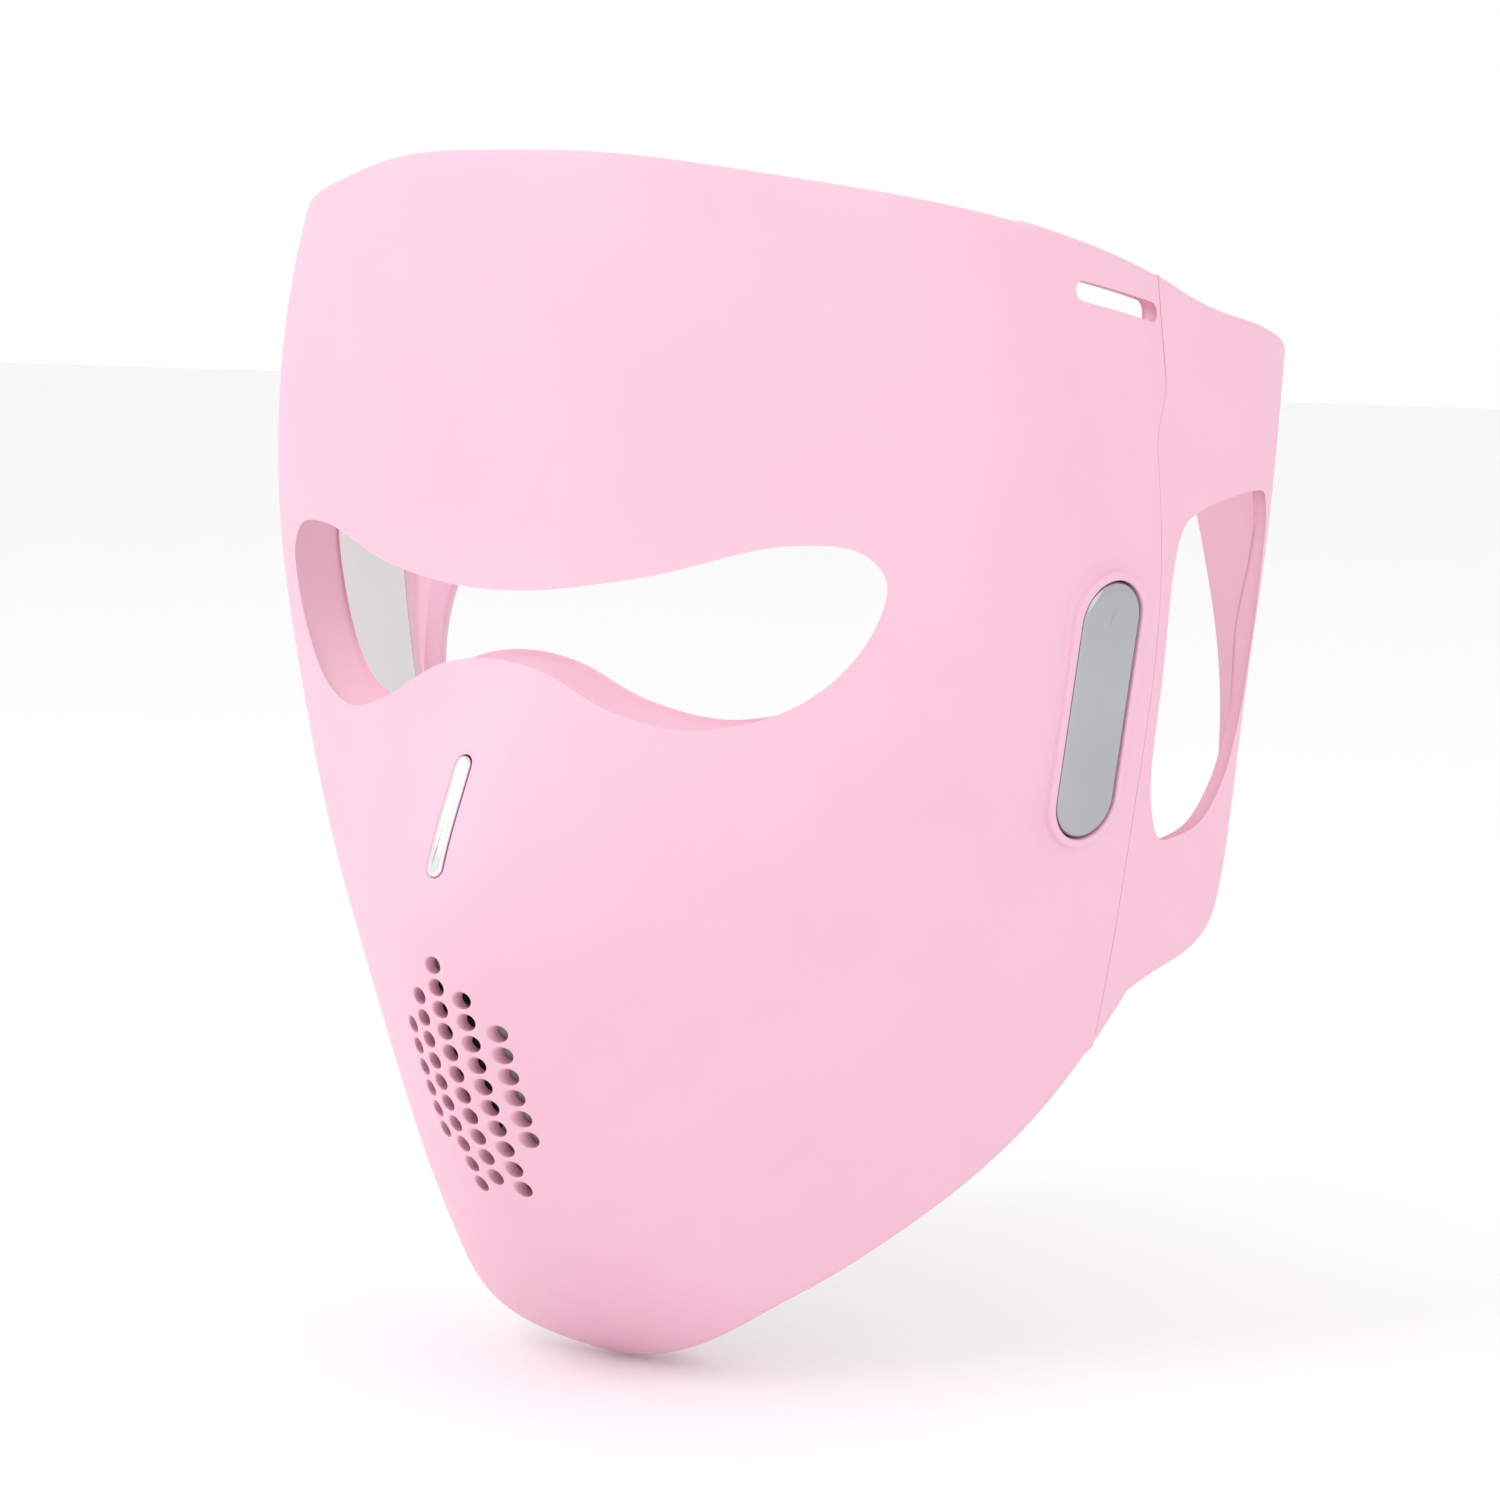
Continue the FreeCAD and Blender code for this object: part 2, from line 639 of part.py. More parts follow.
def trim_block(mask, gap):
    """Stadium strip of the nose, from its seat to its proud face, grown by a gap."""
    sheet = mask.sheet
    cutter = front_stadium(mask, 0, TRIM_MIDDLE, sheet.trim_length + 2 * gap,
                           sheet.trim_width + 2 * gap, False)
    proud = sheet.trim_proud + 2 * gap
    return mask.layer(-proud, sheet.trim_depth + gap).common(cutter)


def liner_shape(mask, places):
    """Skin-side cover with its mouth opening and countersunk screw holes."""
    sheet = mask.sheet
    thickness = sheet.body_thickness
    cover = mask.hollow(thickness - sheet.liner_thickness, thickness, sheet.rim + sheet.seat_gap)
    holes = [front_stadium(mask, 0, MOUTH_MIDDLE, *MOUTH_OPENING, True)]
    for frame in places.liner_screws:
        start = thickness + BORE_START
        holes.append(bore(frame, sheet.screw_hole + LINER_HOLE_PLAY, start, 3 * BORE_START))
        seat = sheet.screw_head_depth + HEAD_SINK
        holes.append(bore(frame, sheet.screw_head + HEAD_PLAY, start, BORE_START + seat))
    return cover.cut(holes)


def wing_shape(mask):
    """Left wing: a thin sheet behind the crease, with the ear opening."""
    sheet = mask.sheet
    inner = sink(mask.wing_net, sheet.wing_wall, (0,))
    sheet_solid = slab(mask.wing_net, inner)
    above, below = side_cutter(mask, WING_TOP, 2 * FAR), side_cutter(mask, WING_FOOT, -FAR)
    ahead = Part.makeBox(2 * FAR, FAR, 4 * FAR,
                         Vector(-FAR, sheet.crease_gap / 2 - FAR, -2 * FAR))
    return sheet_solid.cut([above, below, ahead, mask.ear_cutter()])


def side_cutter(mask, edge, level):
    """Everything between a smooth side-view edge and a level, on the left half."""
    curve = Part.BSplineCurve()
    curve.interpolate([mask.point(0, y, z) for y, z in edge])
    first, last = curve.StartPoint, curve.EndPoint
    ends = [last, Vector(0, FAR, last.z), Vector(0, FAR, level), Vector(0, -FAR, level),
            Vector(0, -FAR, first.z), first]
    edges = [curve.toShape()] + [Part.makeLine(a, b) for a, b in zip(ends, ends[1:])]
    return Part.Face(Part.Wire(edges)).extrude(Vector(FAR, 0, 0))


def grille_shape(mask):
    """Pale grille behind the vents, with an oval window in its middle."""
    sheet = mask.sheet
    rows = max(first + count - 1 for _, first, count in VENT_COLUMNS)
    height = rows * sheet.vent_row_pitch + 2 * sheet.grille_overlap
    width = 4 * sheet.vent_column_pitch + 2 * sheet.grille_overlap
    top = mask.point(0, 0, VENT_TOP).z
    middle = (top - rows * sheet.vent_row_pitch / 2) / mask.up
    plate = mask.layer(sheet.grille_depth, sheet.grille_depth + sheet.grille_thickness)
    plate = plate.common(front_stadium(mask, 0, middle, height, width, False))
    window = front_stadium(mask, 0, GRILLE_MIDDLE, GRILLE_WINDOW[1], GRILLE_WINDOW[0], False)
    return plate.cut(window)


def mesh_shape(mask):
    """Dark mesh behind the grille's window."""
    sheet = mask.sheet
    layer = mask.layer(sheet.mesh_depth, sheet.mesh_depth + sheet.mesh_thickness)
    border = sheet.grille_overlap
    return layer.common(front_stadium(mask, 0, GRILLE_MIDDLE, GRILLE_WINDOW[1] + border,
                                      GRILLE_WINDOW[0] + border, False))


def panel_shape(mask, corners, sign=1):
    """Flexible LED board: a thin layer cut to a panel."""
    sheet = mask.sheet
    layer = mask.layer(sheet.flex_depth, sheet.flex_depth + sheet.flex_thickness)
    return layer.common(front_panel(mask, corners, sign))


def ribbon_shape(mask):
    """Flat cable over the brow, down to both keys and up to the main board."""
    sheet = mask.sheet
    layer = mask.layer(sheet.ribbon_depth, sheet.ribbon_depth + sheet.ribbon_thickness)
    level = mask.point(0, RIBBON_FRONT, RIBBON_LEVEL)
    foot = mask.point(0, 0, RIBBON_FOOT).z
    rear = level.y + sheet.ribbon_width
    top = level.z + sheet.ribbon_width
    band = Part.makeBox(2 * FAR, FAR + rear, sheet.ribbon_width, Vector(-FAR, -FAR, level.z))
    drop = Part.makeBox(2 * FAR, sheet.ribbon_width, top - foot, Vector(-FAR, level.y, foot))
    return layer.common(band.fuse(drop).removeSplitter())


def feature(doc, name, shape):
    """Free-form sub-part, kept as a document object with its own label."""
    made = doc.addObject("Part::Feature", name)
    made.Label = name
    made.Shape = shape
    made.Placement = Placement()
    return made


def bound(doc, kind, name, placement, **sizes):
    """Primitive whose sizes are expressions of the sheet."""
    made = doc.addObject(kind, name)
    made.Label = name
    for prop, expression in sizes.items():
        made.setExpression(prop, expression)
    made.Placement = placement
    return made


def block(doc, name, frame, depth, length, width, height):
    """Box centred on a local frame, with its inner face at a depth; sizes are sheet names."""
    sheet = doc.getObject("sizes")
    place = frame.multiply(lift(-getattr(sheet, length) / 2, -getattr(sheet, width) / 2, -depth))
    return bound(doc, "Part::Box", name, place, Length=f"sizes.{length}",
                 Width=f"sizes.{width}", Height=f"sizes.{height}")


def group(doc, name, members):
    """Several separate solids in one node."""
    made = doc.addObject("Part::Compound", name)
    made.Label = name
    made.Links = members
    return made


def stadium_sketch(body, name, length, width, offset):
    """Sketch with round ends on the body's XY plane; sizes are expressions."""
    plane = [item for item in body.Origin.OriginFeatures if item.Role == "XY_Plane"][0]
    sketch = body.newObject("Sketcher::SketchObject", name)
    sketch.AttachmentSupport = [(plane, "")]
    sketch.MapMode = "FlatFace"
    sketch.setExpression("AttachmentOffset.Base.z", offset)
    up, r, half = Vector(0, 0, 1), SKETCH_RADIUS, SKETCH_HALF
    sketch.addGeometry([
        Part.LineSegment(Vector(r, -half, 0), Vector(r, half, 0)),
        Part.ArcOfCircle(Part.Circle(Vector(0, half, 0), up, r), 0, math.pi),
        Part.LineSegment(Vector(-r, half, 0), Vector(-r, -half, 0)),
        Part.ArcOfCircle(Part.Circle(Vector(0, -half, 0), up, r), math.pi, 2 * math.pi)], False)
    constraint = Sketcher.Constraint
    sketch.addConstraint([
        constraint("Tangent", 0, 2, 1, 1), constraint("Tangent", 1, 2, 2, 1),
        constraint("Tangent", 2, 2, 3, 1), constraint("Tangent", 3, 2, 0, 1),
        constraint("Equal", 1, 3), constraint("PointOnObject", 1, 3, -2),
        constraint("Symmetric", 1, 3, 3, 3, -1, 1)])
    radius = sketch.addConstraint(constraint("Radius", 1, r))
    span = sketch.addConstraint(constraint("DistanceY", 3, 3, 1, 3, 2 * half))
    sketch.setExpression(f"Constraints[{radius}]", f"({width}) / 2")
    sketch.setExpression(f"Constraints[{span}]", f"{length} - ({width})")
    return sketch


def make_key(doc, name, frame):
    """Chromed key: a cap with an eased edge and an inner skirt that keeps it in."""
    body = doc.addObject("PartDesign::Body", name)
    body.Label = name
    outline = stadium_sketch(body, f"{name}_outline", "sizes.key_length", "sizes.key_width",
                             "-sizes.key_reach")
    cap = body.newObject("PartDesign::Pad", f"{name}_cap")
    cap.Profile = outline
    cap.setExpression("Length", "sizes.key_reach + sizes.key_proud")
    skirt_outline = stadium_sketch(body, f"{name}_skirt_outline",
                                   "sizes.key_length + 2 * sizes.key_skirt_lip",
                                   "sizes.key_width + 2 * sizes.key_skirt_lip",
                                   "-sizes.key_reach")
    skirt = body.newObject("PartDesign::Pad", f"{name}_skirt")
    skirt.Profile = skirt_outline
    skirt.Reversed = True
    skirt.setExpression("Length", "sizes.key_skirt")
    doc.recompute()
    top = doc.getObject("sizes").key_proud
    rim = [f"Edge{i}" for i, edge in enumerate(skirt.Shape.Edges, start=1)
           if all(abs(vertex.Z - top) < 1e-6 for vertex in edge.Vertexes)]
    ease = body.newObject("PartDesign::Fillet", f"{name}_edge")
    ease.Base = (skirt, rim)
    ease.setExpression("Radius", "sizes.key_edge")
    body.Tip = ease
    body.Placement = frame
    return body


def make_switch(doc, side, frame):
    """Key board, its tact switch and the plunger that the key presses."""
    sheet = doc.getObject("sizes")
    board_face = sheet.key_board_depth
    board_back = board_face + sheet.board_thickness
    solid = block(doc, f"{side}_key_board_blank", frame, board_back, "key_board_width",
                  "key_board_length", "board_thickness")
    reach = sheet.key_boss_spread / 2
    holes = [bound(doc, "Part::Cylinder", f"{side}_key_board_hole_{i}",
                   frame.multiply(lift(0, end * reach, -board_back)),
                   Radius=f"sizes.key_screw_hole / 2 + {BOARD_HOLE_PLAY}",
                   Height="sizes.board_thickness")
             for i, end in enumerate((1, -1))]
    board = doc.addObject("Part::Cut", f"{side}_key_board")
    board.Label = f"{side}_key_board"
    board.Base = solid
    board.Tool = group(doc, f"{side}_key_board_holes", holes)
    case = block(doc, f"{side}_switch_blank", frame, board_face, "switch_side", "switch_side",
                 "switch_body")
    well = bound(doc, "Part::Cylinder", f"{side}_switch_well",
                 frame.multiply(lift(0, 0, -board_face + WELL_FLOOR)),
                 Radius="sizes.plunger_hole / 2", Height="sizes.switch_body")
    switch = doc.addObject("Part::Cut", f"{side}_switch_body")
    switch.Label = f"{side}_switch_body"
    switch.Base = case
    switch.Tool = well
    under_key = sheet.key_reach + sheet.key_skirt + sheet.plunger_gap
    foot = board_face - sheet.switch_body + sheet.plunger_sunk - sheet.key_travel
    plunger = bound(doc, "Part::Cylinder", f"{side}_switch_plunger",
                    frame.multiply(lift(0, 0, -foot)), Radius="sizes.plunger_width / 2")
    plunger.Height = foot - under_key
    return [board, switch, plunger]


def make_screws(doc, name, frames, prefix, depth):
    """Round-headed screws driven from the skin side, as one node of separate solids."""
    screws = []
    for i, frame in enumerate(frames):
        seat = frame.multiply(lift(0, 0, -depth))
        shank = bound(doc, "Part::Cylinder", f"{name}_shank_{i}", seat,
                      Radius=f"sizes.{prefix}screw_shank / 2", Height=f"sizes.{prefix}screw_bite")
        sheet = doc.getObject("sizes")
        under = getattr(sheet, f"{prefix}screw_head_depth")
        head = bound(doc, "Part::Cylinder", f"{name}_head_{i}",
                     seat.multiply(lift(0, 0, -under)), Radius=f"sizes.{prefix}screw_head / 2",
                     Height=f"sizes.{prefix}screw_head_depth")
        screw = doc.addObject("Part::Fuse", f"{name}_{i}")
        screw.Base, screw.Tool = shank, head
        screws.append(screw)
    return group(doc, name, screws)


def make_leds(doc, name, frames):
    """Square LEDs on the skin side of a flexible board."""
    sheet = doc.getObject("sizes")
    depth = sheet.flex_depth + sheet.flex_thickness + sheet.led_gap + sheet.led_height
    return group(doc, name, [block(doc, f"{name}_{i}", frame, depth, "led_side", "led_side",
                                   "led_height") for i, frame in enumerate(frames)])


def make_motor(doc, side, frame, sign):
    """Vibration motor: a can across the brow, its shaft and an eccentric half-round weight."""
    sheet = doc.getObject("sizes")
    outward = Placement(Vector(0, 0, -sheet.motor_depth),
                        FreeCAD.Rotation(Vector(0, 1, 0), 90 * sign))
    axis = frame.multiply(outward)
    can = bound(doc, "Part::Cylinder", f"{side}_motor_can",
                axis.multiply(lift(0, 0, -sheet.motor_length)),
                Radius="sizes.motor_can / 2", Height="sizes.motor_length")
    well = bound(doc, "Part::Cylinder", f"{side}_motor_bearing",
                 axis.multiply(lift(0, 0, -sheet.motor_shaft_grip - WELL_FLOOR)),
                 Radius="sizes.motor_bore / 2",
                 Height=f"sizes.motor_shaft_grip + {WELL_FLOOR}")
    case = doc.addObject("Part::Cut", f"{side}_motor_case")
    case.Label = f"{side}_motor_case"
    case.Base, case.Tool = can, well
    shaft = bound(doc, "Part::Cylinder", f"{side}_motor_shaft",
                  axis.multiply(lift(0, 0, -sheet.motor_shaft_grip)),
                  Radius="sizes.motor_shaft / 2",
                  Height="sizes.motor_shaft_grip + sizes.motor_shaft_out")
    start = axis.multiply(lift(0, 0, sheet.motor_shaft_out - sheet.motor_weight_length))
    half = bound(doc, "Part::Cylinder", f"{side}_motor_half", start, Angle="180",
                 Radius="sizes.motor_weight / 2", Height="sizes.motor_weight_length")
    core = bound(doc, "Part::Cylinder", f"{side}_motor_core", start,
                 Radius="sizes.motor_shaft / 2", Height="sizes.motor_weight_length")
    weight = doc.addObject("Part::Cut", f"{side}_motor_weight")
    weight.Label = f"{side}_motor_weight"
    weight.Base, weight.Tool = half, core
    print(f"{side} motor axis", tuple(round(v, 3) for v in axis.Base),
          tuple(round(v, 5) for v in axis.Rotation.multVec(Vector(0, 0, 1))))
    return [case, shaft, weight]


def make_port(doc, mask, places):
    """Charging port: a flat shell with round sides and a tongue inside."""
    sheet = mask.sheet
    walls = 2 * sheet.port_wall
    case = port_block(sheet.port_width, sheet.port_height, sheet.port_length)
    room = port_block(sheet.port_width - walls, sheet.port_height - walls,
                      sheet.port_length - sheet.port_wall * 3)
    share, short, thick = TONGUE
    width = sheet.port_width * share
    tongue = Part.makeBox(width, sheet.port_length - short, thick)
    tongue.translate(Vector(-width / 2, TONGUE_BACK - sheet.port_length, -thick / 2))
    shape = case.cut(room).fuse(tongue)
    made = feature(doc, "charging_port", shape)
    made.Placement = port_place(mask, places)
    return made


def build(doc):
    """Make every sub-part; returns the document objects that become nodes."""
    mask = Mask(make_sheet(doc))
    places = Places(mask)
    sheet = mask.sheet
    nodes = [
        feature(doc, "outer_shell", shell_shape(mask, places)),
        feature(doc, "face_liner", liner_shape(mask, places)),
        feature(doc, "nose_trim", trim_block(mask, 0)),
        feature(doc, "mouth_grille", grille_shape(mask)),
        feature(doc, "vent_mesh", mesh_shape(mask)),
        feature(doc, "link_ribbon", ribbon_shape(mask)),
        feature(doc, "forehead_led_board", panel_shape(mask, FOREHEAD_PANEL)),
        feature(doc, "chin_led_board", panel_shape(mask, CHIN_PANEL)),
        make_leds(doc, "forehead_leds", places.leds(*FOREHEAD_LEDS)),
        make_leds(doc, "chin_leds", places.leds(*CHIN_LEDS)),
        block(doc, "main_board", places.main_board,
              sheet.main_board_depth + sheet.board_thickness, "main_board_length",
              "main_board_height", "board_thickness"),
        block(doc, "control_chip", places.main_board, sheet.main_board_depth, "chip_side",
              "chip_side", "chip_height"),
        make_port(doc, mask, places),
        make_screws(doc, "liner_screws", places.liner_screws, "",
                    sheet.body_thickness - sheet.screw_head_depth),
        make_screws(doc, "key_board_screws", places.key_screws, "key_",
                    sheet.key_board_depth + sheet.board_thickness),
    ]
    left_wing = wing_shape(mask)
    wings = {"left": left_wing, "right": left_wing.mirror(Vector(), Vector(1, 0, 0))}
    for side, sign in SIDES:
        key = places.keys[side]
        nodes += [
            feature(doc, f"{side}_wing", wings[side]),
            make_key(doc, f"{side}_key", key),
            *make_switch(doc, side, key),
            feature(doc, f"{side}_cheek_led_board", panel_shape(mask, CHEEK_PANEL, sign)),
            make_leds(doc, f"{side}_cheek_leds", places.leds(*CHEEK_LEDS, sign)),
            block(doc, f"{side}_battery", places.batteries[side],
                  sheet.battery_depth + sheet.battery_thickness, "battery_width",
                  "battery_length", "battery_thickness"),
            *make_motor(doc, side, places.motors[side], sign),
        ]
        print(f"{side} key", tuple(round(v, 3) for v in key.Base),
              tuple(round(v, 5) for v in key.Rotation.multVec(Vector(0, 0, -1))))
    return nodes


def check(doc, nodes):
    """Stop if any object failed or any sub-part has no sound solid."""
    failed = [item.Name for item in doc.Objects if {"Invalid", "Error"} & set(item.State)]
    for node in nodes:
        shape = node.Shape
        if shape.isNull() or not shape.isValid() or not shape.Solids:
            failed.append(node.Label)
    if failed:
        raise SystemExit(f"These objects failed: {failed}")


def main():
    """Build the document and write each sub-part."""
    doc = FreeCAD.newDocument("massage_mask")
    nodes = build(doc)
    doc.recompute()
    check(doc, nodes)
    os.makedirs("parts", exist_ok=True)
    for node in nodes:
        node.Shape.exportStep(f"parts/{node.Label}.step")
        box = node.Shape.BoundBox
        print(f"{node.Label:22s} {len(node.Shape.Solids):3d} solids {node.Shape.Volume:10.1f} mm3",
              f"x {box.XMin:7.1f} {box.XMax:7.1f} y {box.YMin:7.1f} {box.YMax:7.1f}",
              f"z {box.ZMin:7.1f} {box.ZMax:7.1f}")


main()
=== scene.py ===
"""Looks of a full-face massage mask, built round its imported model.

The shell and wings get skins with softened edges, worked out from the face's own stations, the
keys and the nose strip are domed chrome, and everything inside keeps its shape and gets a finish.
Lengths are in millimetres in the shape code and turned into metres as each mesh is made.
"""

import json
import logging
import math
from collections.abc import Callable
from dataclasses import dataclass, field
from enum import Enum

import bmesh
import bpy
import numpy as np
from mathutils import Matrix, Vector
from mathutils.geometry import delaunay_2d_cdt
from mathutils.kdtree import KDTree

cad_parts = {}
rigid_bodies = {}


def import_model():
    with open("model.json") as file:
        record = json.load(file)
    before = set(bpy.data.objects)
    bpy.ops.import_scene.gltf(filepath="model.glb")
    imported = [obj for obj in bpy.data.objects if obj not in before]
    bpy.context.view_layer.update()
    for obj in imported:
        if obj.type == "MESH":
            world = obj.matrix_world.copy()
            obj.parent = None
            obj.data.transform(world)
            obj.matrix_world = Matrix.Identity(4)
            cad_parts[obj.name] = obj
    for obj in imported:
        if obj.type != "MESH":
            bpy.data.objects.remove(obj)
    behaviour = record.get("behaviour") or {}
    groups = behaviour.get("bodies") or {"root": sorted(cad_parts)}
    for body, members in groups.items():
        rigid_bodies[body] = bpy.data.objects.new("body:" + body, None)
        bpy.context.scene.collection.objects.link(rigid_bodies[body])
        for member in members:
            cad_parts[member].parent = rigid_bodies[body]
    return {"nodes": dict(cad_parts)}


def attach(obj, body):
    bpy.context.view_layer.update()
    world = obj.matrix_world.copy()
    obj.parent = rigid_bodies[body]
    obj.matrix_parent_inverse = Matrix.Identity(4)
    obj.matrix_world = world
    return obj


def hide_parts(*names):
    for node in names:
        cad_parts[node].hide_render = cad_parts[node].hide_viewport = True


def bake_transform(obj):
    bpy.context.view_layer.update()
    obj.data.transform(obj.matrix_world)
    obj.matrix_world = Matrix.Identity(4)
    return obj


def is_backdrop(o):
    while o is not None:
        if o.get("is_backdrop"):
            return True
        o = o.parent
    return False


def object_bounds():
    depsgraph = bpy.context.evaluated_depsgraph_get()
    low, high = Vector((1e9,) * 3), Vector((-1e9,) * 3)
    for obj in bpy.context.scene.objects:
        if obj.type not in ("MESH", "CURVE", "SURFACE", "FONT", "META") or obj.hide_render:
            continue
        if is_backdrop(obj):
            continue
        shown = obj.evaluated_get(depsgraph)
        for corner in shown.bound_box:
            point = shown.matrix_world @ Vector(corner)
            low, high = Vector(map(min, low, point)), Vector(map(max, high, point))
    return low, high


LOG = logging.getLogger("mask")
MM = 0.001


# --------------------------------------------------------------------------- shape tools

def knot_line(count: int) -> np.ndarray:
    """Clamped, evenly spaced cubic knots for a number of control points."""
    inner = np.arange(1, count - 3)
    return np.concatenate([np.zeros(4), inner, np.full(4, count - 3)]).astype(float)


def basis(count: int, places: np.ndarray) -> np.ndarray:
    """Cubic B-spline weights of every control point.

    Args:
        count: Number of control points.
        places: Parameters, from 0 to count - 3.

    Returns:
        One row of weights for each place.
    """
    knots = knot_line(count)
    t = np.clip(places, 0.0, count - 3 - 1e-9)[:, None]
    weights = ((knots[:-1] <= t) & (t < knots[1:])).astype(float)
    for degree in (1, 2, 3):
        left, right = knots[:-degree - 1], knots[degree:-1]
        last, following = knots[degree + 1:], knots[1:-degree]
        rise = np.where(right > left, (t - left) / np.maximum(right - left, 1e-12), 0.0)
        fall = np.where(last > following, (last - t) / np.maximum(last - following, 1e-12), 0.0)
        weights = rise * weights[:, :-1] + fall * weights[:, 1:]
    return weights


def smooth_step(share: np.ndarray) -> np.ndarray:
    """Ease from 0 to 1 with level ends."""
    share = np.clip(share, 0.0, 1.0)
    return share * share * (3 - 2 * share)


def through(points: np.ndarray, count: int, closed: bool) -> np.ndarray:
    """Smooth curve through a few points.

    Args:
        points: The points, in order.
        count: Samples wanted in all.
        closed: Whether the last point joins the first.

    Returns:
        Evenly spaced samples of a centripetal curve.
    """
    pts = np.asarray(points, float)
    if closed:
        ring = np.concatenate([pts[-1:], pts, pts[:2]])
    else:
        ring = np.concatenate([2 * pts[:1] - pts[1:2], pts, 2 * pts[-1:] - pts[-2:-1]])
    dense = []
    for a, b, c, d in zip(ring, ring[1:], ring[2:], ring[3:]):
        steps = [0.0] + [float(np.linalg.norm(q - p)) ** 0.5 for p, q in ((a, b), (b, c), (c, d))]
        t0, t1, t2, t3 = np.cumsum(steps)
        t = np.linspace(t1, t2, 33)[:-1, None]
        first = (t1 - t) / (t1 - t0) * a + (t - t0) / (t1 - t0) * b
        second = (t2 - t) / (t2 - t1) * b + (t - t1) / (t2 - t1) * c
        third = (t3 - t) / (t3 - t2) * c + (t - t2) / (t3 - t2) * d
        lower = (t2 - t) / (t2 - t0) * first + (t - t0) / (t2 - t0) * second
        upper = (t3 - t) / (t3 - t1) * second + (t - t1) / (t3 - t1) * third
        dense.append((t2 - t) / (t2 - t1) * lower + (t - t1) / (t2 - t1) * upper)
    line = np.concatenate(dense + [pts[:1] if closed else pts[-1:]])
    along = np.concatenate([[0], np.cumsum(np.linalg.norm(np.diff(line, axis=0), axis=1))])
    wanted = np.linspace(0, along[-1], count + closed)[:count]
    return np.stack([np.interp(wanted, along, line[:, k]) for k in range(line.shape[1])], axis=1)


def curve_height(points: tuple, places: np.ndarray) -> np.ndarray:
    """Height of a smooth edge that is given by a few (place, height) points."""
    line = through(np.array(points), 400, False)
    return np.interp(places, line[:, 0], line[:, 1])


def stadium_loop(length: float, width: float, count: int, grow: float = 0.0) -> np.ndarray:
    """Outline with round ends, its length along the second axis.

    Args:
        length: Length over both round ends.
        width: Width between the straight sides.
        count: Points in the outline.
        grow: How far the outline stands outside those sizes.

    Returns:
        Points of the closed outline, anticlockwise.
    """
    radius, straight = width / 2 + grow, (length - width) / 2
    arc, side = math.pi * radius, 2 * straight
    places = (np.arange(count) + 0.5) / count * 2 * (arc + side)
    points = np.zeros((count, 2))
    for i, place in enumerate(places):
        far = place >= arc + side
        place -= (arc + side) * far
        sign = -1.0 if far else 1.0
        if place < arc:
            angle = place / radius
            points[i] = (sign * radius * math.cos(angle),
                         sign * (straight + radius * math.sin(angle)))
        else:
            points[i] = sign * np.array([-radius, straight - (place - arc)])
    return points


